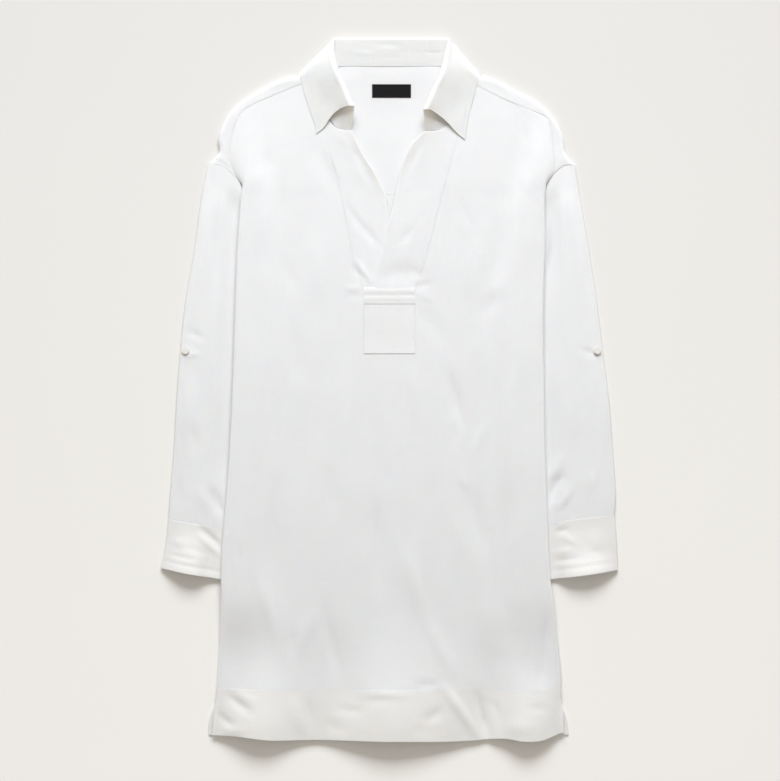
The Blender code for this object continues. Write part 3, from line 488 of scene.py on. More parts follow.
BACK_CREASES = [
    Crease(-150, 200, -140, 60, -150, -90, 24, 1.6),
    Crease(-90, 150, -78, -20, -96, -200, 20, -1.2),
    Crease(10, 240, 4, 120, 14, -20, 26, 1.4),
    Crease(80, 180, 92, 40, 78, -120, 20, 1.5),
    Crease(140, 120, 128, -60, 140, -220, 22, -1.3),
    Crease(-60, -160, -40, -270, -62, -380, 22, 1.5),
    Crease(60, -200, 48, -300, 66, -390, 18, 1.3),
    Crease(-150, -220, -132, -300, -140, -380, 14, -1.0),
    Crease(-170, -40, -120, -70, -80, -130, 9, 0.9, 0.2),
    Crease(170, -100, 130, -150, 96, -220, 9, 0.9, 0.2),
    Crease(-30, 60, 20, 20, 60, -50, 8, 0.7),
    Crease(-20, -60, 10, -120, 30, -200, 10, 0.8),
]
YOKE_CREASES = [
    Crease(-233, 299, -220, 300, -204, 284, 2.6, 0.5),
    Crease(238, 297, 226, 299, 215, 286, 2.6, 0.5),
    Crease(-213, 340, -209, 322, -212, 305, 3.0, -0.4),
    Crease(216, 336, 217, 320, 218, 304, 3.0, -0.4),
    Crease(-40, 380, -34, 340, -36, 290, 16, 0.5),
    Crease(30, 370, 26, 330, 30, 280, 16, 0.5),
]

# Creases of the body stand this many times as high as their table says
BODY_CREASE_SHARE = 1.5

# A sleeve's or cuff's top lies over its bottom by rise, by loft more outside the body, and by end_loft more
# at its mouth. Its creases stand crease_share times as high as their table says.
Tube = namedtuple("Tube", "stations rows rise loft end_loft wall cell creases crease_share")
TUBES = {
    "sleeve": Tube(SLEEVES, 18, 3.4, 2.6, 0.0, WALL, 3.4, SLEEVE_CREASES, 1.4),
    "cuff": Tube(CUFFS, 5, 2.6, 2.9, 8.5, DOUBLE_WALL, 2.6, CUFF_CREASES, 0.95),
}

# Largest cells of the smaller pieces. The body's is a value that a user can change, and the back's is so many
# times as large.
BACK_CELL_SHARE = 2
BAND_CELL = 2.5
PATCH_ROW_CELL = 1.2
COLLAR_CELL = 2.8
COLLAR_ROW_CELL = 1.1
LABEL_CELL = 2.0

# What each sheet was cut to: its width, its length, and its area where it wasn't a rectangle
Cut = namedtuple("Cut", "width length area", defaults=(None,))
CUTS = {
    "front_panel": Cut(470, 800, 470 * 700),
    "front_hem_band": Cut(470, 66),
    "back_panel": Cut(470, 650),
    "back_hem_band": Cut(480, 132, 480 * 64),
    "yoke": Cut(440, 240, 440 * 240 * 0.8),
    "placket_band_left": Cut(75, 320, 75 * 320 * 0.52),
    "placket_band_right": Cut(75, 320, 75 * 320 * 0.52),
    "placket_box": Cut(BOX_RIGHT - BOX_LEFT, BOX_TOP - BOX_BOTTOM),
    "placket_bar": Cut(BOX_RIGHT - BOX_LEFT, BAR_TOP - BAR_BOTTOM),
    "collar": Cut(360, 100, 360 * 100 * 0.85),
    "sleeve_left": Cut(230, 470),
    "sleeve_right": Cut(230, 470),
    "cuff_left": Cut(220, 66),
    "cuff_right": Cut(220, 66),
    "neck_label": Cut(LABEL_RIGHT - LABEL_LEFT, LABEL_TOP - LABEL_BOTTOM),
}


# Stage. The floor lies just under the cloth; its colour is painted from a level at one Y to another, darker
# near the window and lighter away, against the window light's fall-off.
FLOOR_SIZE = 8.0
FLOOR_DROP = 0.15
FLOOR_COUNTERSHADE = {"From Min": -0.5, "From Max": 0.5, "To Min": 1.15, "To Max": 0.80}
ROOM_COLOUR = (1.0, 0.945, 0.85)
Softbox = namedtuple("Softbox", "name place size colour")
SOFTBOXES = (
    Softbox("window", (0.05, 3.2, 2.1), (2.6, 1.5), (0.93, 0.96, 1.0)),
    Softbox("ceiling", (0.0, 0.3, 2.6), (2.8, 2.8), (1.0, 0.97, 0.92)),
)

# The picture's height in pixels, the plan place of its middle, and the height where its scale holds
PICTURE_ROWS = 781
PICTURE_MIDDLE_Y = -1.95
PICTURE_LEVEL = 6.0


# Reading the tables

def smooth(t):
    """Rise from 0 to 1 with no kink at either end."""
    t = np.clip(t, 0.0, 1.0)
    return t * t * (3 - 2 * t)


def mix(a, b, t):
    return a + (b - a) * t


def read(keys, values, at):
    """Value at a key, on a smooth curve through the values."""
    if at <= keys[0]:
        return values[0]
    if at >= keys[-1]:
        return values[-1]
    i = next(n for n in range(len(keys) - 1) if at <= keys[n + 1])

    def slope(n):
        low, high = max(n - 1, 0), min(n + 1, len(keys) - 1)
        return (values[high] - values[low]) / (keys[high] - keys[low])

    span = keys[i + 1] - keys[i]
    t = (at - keys[i]) / span
    start = (2 * t ** 3 - 3 * t ** 2 + 1) * values[i] + (t ** 3 - 2 * t ** 2 + t) * span * slope(i)
    end = (3 * t ** 2 - 2 * t ** 3) * values[i + 1] + (t ** 3 - t ** 2) * span * slope(i + 1)
    return start + end


def column(rows, key, name, at):
    """Read one named column of a table where its key column is at a value."""
    return read([getattr(row, key) for row in rows], [getattr(row, name) for row in rows], at)


def along(points, t):
    """Point at a share t of the length of a smooth curve through points."""
    lengths = [0.0]
    for a, b in zip(points, points[1:]):
        lengths.append(lengths[-1] + hypot(*(q - p for p, q in zip(a, b))))
    at = t * lengths[-1]
    return tuple(read(lengths, [p[axis] for p in points], at) for axis in range(len(points[0])))


# Heights of the layers, each for the middle of a wall

def sleeve_share(x, y):
    """How far a point of the body lies over the tucked part of a sleeve, from 0 to 1."""
    side = "left" if x < 0 else "right"
    inner = abs(column(SLEEVES[side], "y", "inner", y))
    return smooth((abs(x) - (inner - 42)) / 26)


def back_height(x, y):
    """Back of the body, on the floor in the middle, over the sleeves and over the back of the collar."""
    over_sleeve = sleeve_share(x, y) * smooth((288 - y) / 22) * smooth((y + 294) / 34)
    over_leaf = smooth((y - 345) / 66) * (1 - smooth((abs(x) - 113) / 8))
    at_neck = smooth((y - 378) / 46) * (1 - smooth((abs(x) - 66) / 20))
    return FLOOR_MIDDLE + SLEEVE_LIFT * over_sleeve + BACK_LEAF_LIFT * over_leaf + NECK_RISE * at_neck


def fold_height(fold, x, y):
    """Soft ridge or trough along a straight line."""
    dx, dy = fold.x1 - fold.x0, fold.y1 - fold.y0
    length = hypot(dx, dy)
    t = ((x - fold.x0) * dx + (y - fold.y0) * dy) / length ** 2
    beside = ((x - fold.x0) * dy - (y - fold.y0) * dx) / length
    across = smooth(1 - abs(beside) / fold.width)
    ends = smooth((t + 0.1) / 0.3) * smooth((1.1 - t) / 0.3)
    return fold.height * across * ends


def arch_height(x, y):
    """Waves of the front hem, which stand clear of the back."""
    height = 0.0
    for arch in HEM_ARCHES:
        if arch.left_end < x < arch.right_end:
            end = arch.left_end if x < arch.crest else arch.right_end
            across = cos(pi / 2 * (x - arch.crest) / (end - arch.crest)) ** 2
            reach = (arch.top - y) / (arch.top - FRONT_HEM_Y)
            height += arch.height * across * smooth(reach) ** 1.8
    return height


def front_leaf_lift(y):
    """Rise of the front and of its shoulder seams near the neck, where the collar lies under the back."""
    return FRONT_LEAF_LIFT * smooth((y - 392) / 10)


def front_height(x, y):
    """Front of the body."""
    over_sleeve = sleeve_share(x, y) * smooth((372 - y) / 108) * smooth((y + 350) / 90)
    folds = sum(fold_height(fold, x, y) for fold in FRONT_FOLDS)
    base = FLOOR_MIDDLE + LAYER_RISE + SLEEVE_LIFT * over_sleeve + front_leaf_lift(y)
    return base + folds + arch_height(x, y)


# Coarse forms of the pieces

LOWER_ROWS = [HEM_SEAM_Y - HEM_TURN, -372, -350, -325, -300, -274, -245, -210, -170, -120, -70, -20, 30,
              78, 112, SLIT_FOOT_Y, 160, 195, 228, 250]
SEAM_COLUMN_YS = [266, 287, 308, 328, 347, 364, 384, 401.5]
DROP_COLUMNS = 6
FRONT_ROWS = len(LOWER_ROWS) - 1 + len(SEAM_COLUMN_YS)
HALF_COLUMNS = FOLD_CELLS + SIDE_CELLS
FRONT_COLUMNS = 2 * HALF_COLUMNS + CENTRE_CELLS
SLIT_ROW = LOWER_ROWS.index(SLIT_FOOT_Y)
HEM_ROWS = 4


def fold_point(side, y, share, turn=pi):
    """Point on the side fold, from its top (share 0) round to the seam with the back (share 1)."""
    sign = SIGN[side]
    edge = column(BODY_EDGES, "y", side, y)
    top_x = edge - sign * (FOLD_RADIUS + WALL / 2)
    angle = max(turn * share, 1e-6)
    reach = FOLD_LENGTH * share / angle
    x = top_x + sign * reach * sin(angle)
    return x, y, front_height(top_x, y) - reach * (1 - cos(angle))


def shoulder_columns(side):
    """The drop's own columns, then the shoulder's, shared out evenly as the front's top row is."""
    rows = SHOULDERS[side]
    shoulder = [Shoulder(*along(rows[DROP_COLUMNS:], step / HALF_COLUMNS))
                for step in range(HALF_COLUMNS + 1)]
    return rows[:DROP_COLUMNS] + shoulder


SHOULDER_TABLES = {side: shoulder_columns(side) for side in ("left", "right")}
SHOULDER_COLUMNS = len(SHOULDER_TABLES["left"])


def seam_height(y):
    """Height of the forward seam, where the front and the yoke meet."""
    return FLOOR_MIDDLE + LAYER_RISE + front_leaf_lift(y)


def drop_seam(side, row):
    """Point of the drop seam at a row above the armhole, a little inside it."""
    shoulder = SHOULDER_TABLES[side][row]
    x = shoulder.seam_x - SIGN[side] * SEAM_GAP
    return x, shoulder.seam_y, seam_height(shoulder.seam_y)


def front_point(col, row):
    left = col <= FRONT_COLUMNS / 2
    side = "left" if left else "right"
    step = col if left else FRONT_COLUMNS - col
    gap = -SIGN[side] * BAND_GAP
    if row < len(LOWER_ROWS):
        return lower_front_point(side, step, LOWER_ROWS[row], row, gap)
    return upper_front_point(side, min(step, HALF_COLUMNS), row - len(LOWER_ROWS) + 1, gap)


def lower_front_point(side, step, y, row, gap):
    if step < FOLD_CELLS:
        return fold_point(side, y, 1 - step / FOLD_CELLS)
    seam_x = column(BAND_SEAMS, "y", side, y)
    if step > HALF_COLUMNS:
        other_x = column(BAND_SEAMS, "y", "right" if side == "left" else "left", y)
        x = mix(seam_x, other_x, (step - HALF_COLUMNS) / CENTRE_CELLS)
        return x, y, front_height(x, y)
    if row > SLIT_ROW:
        seam_x -= gap
    top_x = fold_point(side, y, 0)[0]
    x = mix(top_x, seam_x, (step - FOLD_CELLS) / SIDE_CELLS)
    return x, y, front_height(x, y)


def upper_front_point(side, step, row, gap):
    """Front above the base of the armhole: row 1 still folds under, and row 2 is the first at the drop."""
    seam_y = SEAM_COLUMN_YS[row - 1]
    seam_x = column(BAND_SEAMS, "y", side, seam_y) - gap
    if row == len(SEAM_COLUMN_YS):
        shoulder = SHOULDER_TABLES[side][DROP_COLUMNS + step]
        x = shoulder.seam_x - SIGN[side] * SEAM_GAP
        y = shoulder.seam_y - 2 * SEAM_GAP
        return x, y, seam_height(y)
    if row == 1:
        edge_y = (LOWER_ROWS[-1] + SHOULDERS[side][0].seam_y) / 2
        outer = fold_point(side, edge_y, 1)
        ridge = fold_point(side, edge_y, 0)
    else:
        outer = drop_seam(side, row - 2)
        edge_y = outer[1]
        ridge_x = column(BODY_EDGES, "y", side, edge_y) - SIGN[side] * DROP_INSET
        ridge = (ridge_x, edge_y, front_height(ridge_x, edge_y))
    if step < FOLD_CELLS:
        share = 1 - step / FOLD_CELLS
        if row == 1:
            return fold_point(side, edge_y, share)
        x = mix(ridge[0], outer[0], share)
        z = mix(ridge[2], outer[2], share ** 1.5)
        return x, edge_y, z
    share = (step - FOLD_CELLS) / SIDE_CELLS
    x = mix(ridge[0], seam_x, share)
    y = mix(edge_y, seam_y, share) + DROP_BOW * sin(pi * share) * smooth((row - 4) / 4)
    return x, y, front_height(x, y)


def front_kept(col, row):
    in_slit = HALF_COLUMNS <= col < HALF_COLUMNS + CENTRE_CELLS
    return not (in_slit and row >= SLIT_ROW)


def seam_wander(x):
    """Plan place of the hem seam, which wanders a little as it waves."""
    return HEM_SEAM_Y + 0.6 + 1.9 * noise.noise(Vector((x / 46, 4.1, 0)))


def front_hem_point(col, row):
    """Hem band of the front. Its side edges open out flat below the top of the slits."""
    left = col <= FRONT_COLUMNS / 2
    side = "left" if left else "right"
    step = col if left else FRONT_COLUMNS - col
    share = row / HEM_ROWS
    nominal = mix(FRONT_HEM_Y, HEM_SEAM_Y - SEAM_GAP, share)
    turn = mix(0.15, pi, smooth((nominal + 440) / 49) ** 1.6)
    if step < FOLD_CELLS:
        x, y, z = fold_point(side, nominal, 1 - step / FOLD_CELLS, turn)
    elif step > HALF_COLUMNS:
        x = mix(BAND_SEAMS[0].left, BAND_SEAMS[0].right, (col - HALF_COLUMNS) / CENTRE_CELLS)
        y, z = nominal, front_height(x, nominal)
    else:
        top_x = fold_point(side, nominal, 0)[0]
        x = mix(top_x, column(BAND_SEAMS, "y", side, HEM_SEAM_Y), (step - FOLD_CELLS) / SIDE_CELLS)
        y, z = nominal, front_height(x, nominal)
    y = mix(column(FRONT_HEM, "x", "y", x), seam_wander(x), share)
    return x, y, max(z - HEM_SINK, DOUBLE_WALL + SEAM_GAP + HEM_CLEARANCE)


BACK_ROWS = [HEM_SEAM_Y + SEAM_GAP, -350, -300, -274, -260, -245, -210, -170, -120, -70, -20, 30, 78,
             SLIT_FOOT_Y, 195, 228, YOKE_SEAM_Y - SEAM_GAP]


def back_edge(side, y):
    """Side of the back, where it meets the turned-under front."""
    return column(BODY_EDGES, "y", side, y) - SIGN[side] * (FOLD_RADIUS + WALL / 2 + 2 * SEAM_GAP)


def spread(col, left_x, right_x):
    """Share a width out with narrow columns at the sides."""
    t = col / BACK_COLUMNS
    eased = 0.62 * t + 0.38 * (0.5 - 0.5 * cos(pi * t))
    return mix(left_x, right_x, eased)


def back_point(col, row):
    y = BACK_ROWS[row]
    x = spread(col, back_edge("left", y), back_edge("right", y))
    return x, y, back_height(x, y)


def back_hem_point(col, row):
    y = mix(BACK_HEM_Y, HEM_SEAM_Y - SEAM_GAP, row / HEM_ROWS)
    left_x = column(BACK_HEM_EDGES, "y", "left", y)
    right_x = column(BACK_HEM_EDGES, "y", "right", y)
    return spread(col, left_x, right_x), y, DOUBLE_WALL / 2


FLOOR_SHARES = [0, 0.28, 0.55, 0.76, 0.9, 1]
NECK_SHARES = [0, 0.24, 0.48, 0.68, 0.82, 0.878, 0.935, 1]
FLOOR_ROWS = len(FLOOR_SHARES) - 1
UNDER_ROWS = 2
FOLD_ROWS = 3
STRIP_ROWS = 2
YOKE_FLOOR = FLOOR_ROWS + UNDER_ROWS
YOKE_ROWS = YOKE_FLOOR + FOLD_ROWS + STRIP_ROWS
YOKE_COLUMNS = 2 * SHOULDER_COLUMNS + len(NECK_COLUMNS) - 1


def shoulder_plan(shoulder, share, inset):
    """Plan point between the forward seam (share 0) and a place inset from the fold (share 1)."""
    dx, dy = shoulder.fold_x - shoulder.seam_x, shoulder.fold_y - shoulder.seam_y
    length = hypot(dx, dy)
    reach = (length - inset) / length * share
    x = shoulder.seam_x + dx * reach
    y = shoulder.seam_y + dy * reach + shoulder.bow * sin(pi * min(reach, 1))
    return x, y


def yoke_point(col, row):
    if SHOULDER_COLUMNS <= col < SHOULDER_COLUMNS + len(NECK_COLUMNS):
        neck = NECK_COLUMNS[col - SHOULDER_COLUMNS]
        share = NECK_SHARES[min(row, YOKE_FLOOR)]
        x = mix(neck.back_x, neck.x, share)
        y = mix(YOKE_SEAM_Y, neck.y, share)
        return x, y, back_height(x, y)
    side = "left" if col < SHOULDER_COLUMNS else "right"
    step = col if side == "left" else YOKE_COLUMNS - col
    shoulder = SHOULDER_TABLES[side][step]
    if row <= FLOOR_ROWS:
        share = FLOOR_SHARES[row]
        bend = max(1, ARMHOLE_BEND - step / 2)
        x = mix(shoulder.back_x, shoulder.seam_x, share ** bend)
        y = mix(YOKE_SEAM_Y, shoulder.seam_y, share)
        return x, y, back_height(x, y)
    bottom = back_height(shoulder.fold_x, shoulder.fold_y)
    top = seam_height(shoulder.fold_y)
    radius = (top - bottom) / 2
    inset = radius + WALL / 2
    if row <= YOKE_FLOOR:
        x, y = shoulder_plan(shoulder, (row - FLOOR_ROWS) / UNDER_ROWS, inset)
        return x, y, back_height(x, y)
    if row <= YOKE_FLOOR + FOLD_ROWS:
        angle = pi * (row - YOKE_FLOOR) / FOLD_ROWS
        x, y = shoulder_plan(shoulder, 1, inset - radius * sin(angle))
        return x, y, bottom + radius * (1 - cos(angle))
    share = 1 - (row - YOKE_FLOOR - FOLD_ROWS) / STRIP_ROWS
    x, y = shoulder_plan(shoulder, share, inset)
    if share == 0:
        x, y = shoulder_plan(shoulder, SEAM_SETBACK, inset)
    return x, y, seam_height(y) + SEAM_RIDGE


def yoke_kept(col, row):
    on_shoulder = col < SHOULDER_COLUMNS - 1 or col >= SHOULDER_COLUMNS + len(NECK_COLUMNS)
    return on_shoulder or row < YOKE_FLOOR


BAND_YS = ([SLIT_FOOT_Y - SLIT_TUCK] + LOWER_ROWS[SLIT_ROW + 1:]
           + [y for y in SEAM_COLUMN_YS if y < BAND_TOP_Y] + [BAND_TOP_Y])
BAND_ROWS = len(BAND_YS) - 1
BAND_COLUMNS = 5


def band_height(side, share, y):
    """Height of a placket band at a share of its width from its seam to its free edge."""
    seam = FLOOR_MIDDLE + LAYER_RISE
    lip = LIP_RISE * smooth((y - 262) / 70) * share ** 2
    if side == "left":
        tuck = UNDERLAP_TUCK * smooth(share / 0.8) * (1 - smooth((y - 250) / 40))
        return seam - tuck + lip
    over_foot = 0.5 * (1 - smooth((y - 133) / 20))
    return seam + lip + (0.15 + over_foot) * smooth(share / 0.3)


def band_place(side):
    def place(col, row):
        seam_y = BAND_YS[row]
        t = (seam_y - BAND_YS[0]) / (BAND_TOP_Y - BAND_YS[0])
        seam_x = column(BAND_SEAMS, "y", side, seam_y) - SIGN[side] * BAND_GAP
        free_x, free_y = along(FREE_EDGES[side], t)
        share = col / BAND_COLUMNS
        x = mix(seam_x, free_x, share)
        y = mix(seam_y, free_y, share) - BAND_DIP * sin(pi * share ** 0.7) * smooth((t - 0.78) / 0.22)
        return x, y, band_height(side, share, y)
    return place


def patch_place(left_x, right_x, low_y, high_y, columns, rows, height):
    """Rectangle at a height worked out at each place."""
    def place(col, row):
        x, y = mix(left_x, right_x, col / columns), mix(low_y, high_y, row / rows)
        return x, y, height(x, y)
    return place


def box_height(x, y):
    """The box lies close on the panel and stands up a little at its lower edge."""
    return BOX_HEIGHT + 0.4 * smooth((BOX_BOTTOM + 9 - y) / 9)


def bar_height(x, y):
    """The bar swells on both sides of its row of stitches."""
    swell = 0.3 * np.exp(-((y - 127.5) / 2.6) ** 2) + 0.2 * np.exp(-((y - 117.5) / 2.6) ** 2)
    return BAR_HEIGHT + swell - 0.2 * np.exp(-((y - BAR_STITCH_Y) / 1.2) ** 2)


def label_height(x, y):
    return back_height(x, y) + LABEL_LIFT


def ring_place(side, tube):
    """Flattened tube. It starts at its outer fold and runs under, to the inner fold, and back on top."""
    stations, floor = tube.stations[side], tube.wall / 2
    low, high = stations[0].y, stations[-1].y
    flat = RING_CELLS // 2

    def place(col, row):
        y = mix(low, high, row / tube.rows)
        outer = column(stations, "y", "outer", y)
        inner = column(stations, "y", "inner", y)
        slant = column(stations, "y", "slant", y)
        bow = column(stations, "y", "bow", y)
        sign = SIGN[side]
        on_top = col > flat
        step = RING_CELLS - col if on_top else col
        rise_here = tube.rise + HEAD_RISE * smooth((y + 30 - HEAD_Y) / 26)
        radius = rise_here / 2
        width = abs(outer - inner) - 2 * (radius + floor)
        if step <= 2:
            angle = pi / 2 * step / 2
            across = radius * (1 - cos(angle))
            level = 1 - sin(angle)
        elif step >= flat - 2:
            angle = pi / 2 * (flat - step) / 2
            across = width + radius * (1 + cos(angle))
            level = 1 - sin(angle)
        else:
            across = radius + width * (step - 2) / (flat - 4)
            level = 0.0
        share = across / (width + 2 * radius)
        x = outer - sign * (floor + across)
        edge = abs(column(BODY_EDGES, "y", side, y))
        outside = smooth((abs(x) - edge - 10) / 16) * smooth(across / 16) * smooth((HEAD_Y - y) / 40)
        end = smooth((low + 62 - y) / 62) * smooth((abs(x) - edge - 9) / 28) * smooth(across / 34)
        half = (rise_here + tube.loft * outside + tube.end_loft * end) / 2
        z = floor + half * (1 + (1 - level if on_top else level - 1))
        if on_top and not tube.end_loft:
            beside = smooth((abs(x) - edge + 12) / 12) * smooth((edge + 26 - abs(x)) / 20)
            z -= VALLEY_DIP * (1 - level) * beside * smooth((268 - y) / 20) * smooth((y - low - 30) / 60)
        return x, y - slant * share + bow * sin(pi * share), z
    return place


def collar_rows(section):
    """Points of a collar section, from the neck seam to the edge of the leaf."""
    neck, crease, edge = Vector(section.neck), Vector(section.crease), Vector(section.edge)
    edge.z -= LEAF_SINK * section.turn
    sign = 1 if crease.x > 0 else -1
    turn = section.turn
    ahead = Vector((0, 1 - turn, turn)).normalized()
    leafward = Vector((sign * turn, 0, turn - 1)).normalized()
    r = section.radius * (1 + 0.5 * turn ** 2)
    before = crease - ahead * r - leafward * r
    after = crease - ahead * r * mix(1.0, 0.45, turn) + leafward * r * mix(1.0, 1.5, turn)
    shoulder = r * 0.3
    up_turn = crease - ahead * shoulder - leafward * r * 0.7
    down_turn = crease - ahead * r * mix(0.3, 0.1, turn) + leafward * r * 0.7
    middle = neck.lerp(before, 0.5) - Vector((0, 0, section.sag))
    points = [neck, middle, before, up_turn, crease, down_turn, after]
    for share, arched in LEAF_STEPS:
        point = after.lerp(edge, share)
        point.z = edge.z + (after.z - edge.z) * (1 - share) ** (1 + LEAF_HOLLOW * turn)
        point.y += section.arch * arched
        points.append(point)
    return points


def collar_place(col, row):
    sections = COLLAR["left"] + [COLLAR_MIDDLE] + COLLAR["right"][::-1]
    keys = list(range(len(sections)))
    at = col / COLLAR_COLUMNS * keys[-1]
    points = [collar_rows(section)[row] for section in sections]
    return tuple(read(keys, [point[axis] for point in points], at) for axis in range(3))


# Fine forms

Grid = namedtuple("Grid", "points columns rows")


def between(keys, values, at):
    """Rows of an array at places between its keys, on smooth curves through them."""
    count = len(keys)
    low, high = np.maximum(np.arange(count) - 1, 0), np.minimum(np.arange(count) + 1, count - 1)
    across = (-1,) + (1,) * (values.ndim - 1)
    slopes = (values[high] - values[low]) / (keys[high] - keys[low]).reshape(across)
    i = np.clip(np.searchsorted(keys, at) - 1, 0, count - 2)
    span = (keys[i + 1] - keys[i]).reshape(across)
    t = (at - keys[i]).reshape(across) / span
    start = (2 * t ** 3 - 3 * t ** 2 + 1) * values[i] + (t ** 3 - 2 * t ** 2 + t) * span * slopes[i]
    end = (3 * t ** 2 - 2 * t ** 3) * values[i + 1] + (t ** 3 - t ** 2) * span * slopes[i + 1]
    return start + end


def refine(points, cell, breaks=()):
    """Finer rows of points, at most a cell apart, and where each lies among the old rows."""
    steps = np.linalg.norm(np.diff(points, axis=0), axis=2).mean(axis=1)
    keys = np.concatenate([[0.0], np.cumsum(steps)])
    fine, places = [], []
    ends = [0, *breaks, len(steps)]
    for first, last in zip(ends, ends[1:]):
        at, place = [], []
        for n in range(first, last):
            count = max(int(np.ceil(steps[n] / cell)), 1)
            shares = np.arange(count) / count
            at.extend(keys[n] + shares * steps[n])
            place.extend(n + shares)
        fine.append(between(keys[first:last + 1], points[first:last + 1], np.array(at)))
        places.append(np.array(place))
    fine.append(points[-1:])
    places.append(np.array([float(len(steps))]))
    return np.concatenate(fine), np.concatenate(places)


def grid(columns, rows, place, cell, ring=False, breaks=(), row_cell=None):
    """Fine grid over a coarse form. columns and rows hold where its lines lie among the coarse ones."""
    coarse = np.array([[place(col, row) for col in range(columns + 1)] for row in range(rows + 1)])
    if ring:
        coarse[:, -1] = coarse[:, 0]
        coarse = np.concatenate([coarse[:, -3:-1], coarse, coarse[:, 1:3]], axis=1)
    points, row_places = refine(coarse, row_cell or cell)
    points, column_places = refine(points.swapaxes(0, 1), cell, breaks)
    points = points.swapaxes(0, 1)
    if ring:
        inside = (column_places >= 2) & (column_places <= columns + 2)
        points, column_places = points[:, inside], column_places[inside] - 2
    return Grid(points, column_places, row_places)


def crease_height(creases, x, y):
    """Sum of the creases at arrays of plan places."""
    height = np.zeros_like(x)
    for crease in creases:
        start, middle, end = (np.array(crease[n:n + 2]) for n in (0, 2, 4))
        start, end = middle + (start - middle) * CREASE_RUN, middle + (end - middle) * CREASE_RUN
        bend = 2 * middle - (start + end) / 2
        shares = np.linspace(0, 1, 9)
        curve = np.array([(1 - t) ** 2 * start + 2 * t * (1 - t) * bend + t * t * end for t in shares])
        reach = 3.0 * crease.width
        near = ((x > curve[:, 0].min() - reach) & (x < curve[:, 0].max() + reach)
                & (y > curve[:, 1].min() - reach) & (y < curve[:, 1].max() + reach))
        if not near.any():
            continue
        px, py = x[near], y[near]
        best = np.full(px.shape, 1e9)
        beside = np.zeros(px.shape)
        run = np.zeros(px.shape)
        for n in range(len(curve) - 1):
            ax, ay = curve[n]
            dx, dy = curve[n + 1] - curve[n]
            length = hypot(dx, dy)
            t = ((px - ax) * dx + (py - ay) * dy) / length ** 2
            first, final = n == 0, n == len(curve) - 2
            held = np.clip(t, -0.5 if first else 0, 1.5 if final else 1)
            away = np.hypot(px - ax - held * dx, py - ay - held * dy)
            closer = away < best
            best = np.where(closer, away, best)
            side = np.sign((px - ax) * dy - (py - ay) * dx)
            beside = np.where(closer, side * away, beside)
            run = np.where(closer, (n + held) / (len(curve) - 1), run)
        wide = crease.width * (1 + crease.lean * np.sign(beside))
        q = (best / wide) ** 2
        ends = smooth(run / 0.45) * smooth((1 - run) / 0.45)
        height[near] += crease.height * (1 - 0.5 * q) * np.exp(-q) * ends
    return height


def rumple(x, y, size, seed, stretch=1.0):
    """Soft uneven swell of the cloth, about -1 to 1, its waves size wide and stretch times as long."""
    flat = [noise.noise(Vector((a / size, b / (size * stretch), seed))) for a, b in zip(x.ravel(), y.ravel())]
    return np.array(flat).reshape(x.shape)


def cloth_map(points):
    """Length along the cloth at each point, across and up, in metres."""
    across = np.linalg.norm(np.diff(points, axis=1), axis=2)
    u = np.concatenate([np.zeros((len(points), 1)), np.cumsum(across, axis=1)], axis=1)
    u -= u[:, -1:] / 2
    up = np.linalg.norm(np.diff(points, axis=0), axis=2)[:, points.shape[1] // 2]
    v = np.concatenate([[0.0], np.cumsum(up)])
    return np.stack([u, np.broadcast_to(v[:, None], u.shape)], axis=2) * MM


def make_cloth(name, shape, wall, surface, kept=None, ring=False, joined=(), joined_rows=()):
    """Mesh of a fine grid with its own map, given its wall, and soft edges but on lines that are joined."""
    rows, columns = shape.points.shape[:2]
    shape.points[:, :, 2] = np.maximum(shape.points[:, :, 2], wall / 2)
    at = np.arange(rows * columns).reshape(rows, columns)
    if ring:
        at[:, -1] = at[:, 0]
    corners = np.stack([at[:-1, :-1], at[:-1, 1:], at[1:, 1:], at[1:, :-1]], axis=2)
    here = np.ones(corners.shape[:2], bool)
    if kept:
        for r in range(rows - 1):
            for c in range(columns - 1):
                here[r, c] = kept(int(shape.columns[c] + 1e-6), int(shape.rows[r] + 1e-6))
    faces = corners[here]
    lengths = cloth_map(shape.points)
    face_map = np.stack([lengths[:-1, :-1], lengths[:-1, 1:], lengths[1:, 1:], lengths[1:, :-1]], axis=2)
    used, faces = np.unique(faces, return_inverse=True)
    faces = faces.reshape(-1, 4)
    places = (shape.points - np.array([CENTRE_X, CENTRE_Y, 0])).reshape(-1, 3)[used] * MM
    mesh = bpy.data.meshes.new(name)
    mesh.from_pydata(places.tolist(), [], faces.tolist())
    mesh.uv_layers.new(name="cloth").data.foreach_set("uv", face_map[here].ravel())
    on_seam = np.zeros((rows, columns), np.float32)
    for column_at in joined:
        on_seam[:, np.abs(shape.columns - column_at) < 1e-6] = 1.0
    for row_at in joined_rows:
        on_seam[np.abs(shape.rows - row_at) < 1e-6] = 1.0
    mesh.attributes.new("joined", "FLOAT", "POINT").data.foreach_set("value", on_seam.ravel()[used])
    mesh.materials.append(surface)
    piece = bpy.data.objects.new(name, mesh)
    bpy.context.scene.collection.objects.link(piece)
    only(piece)
    thickness = piece.modifiers.new("wall", "SOLIDIFY")
    thickness.thickness = wall * MM
    thickness.offset = 0
    bpy.ops.object.modifier_apply(modifier="wall")
    bpy.ops.object.shade_smooth()
    soften_edges(mesh, wall * RIM_SHARE * MM)
    normals = piece.modifiers.new("normals", "WEIGHTED_NORMAL")
    normals.keep_sharp = True
    bpy.ops.object.modifier_apply(modifier="normals")
    return piece


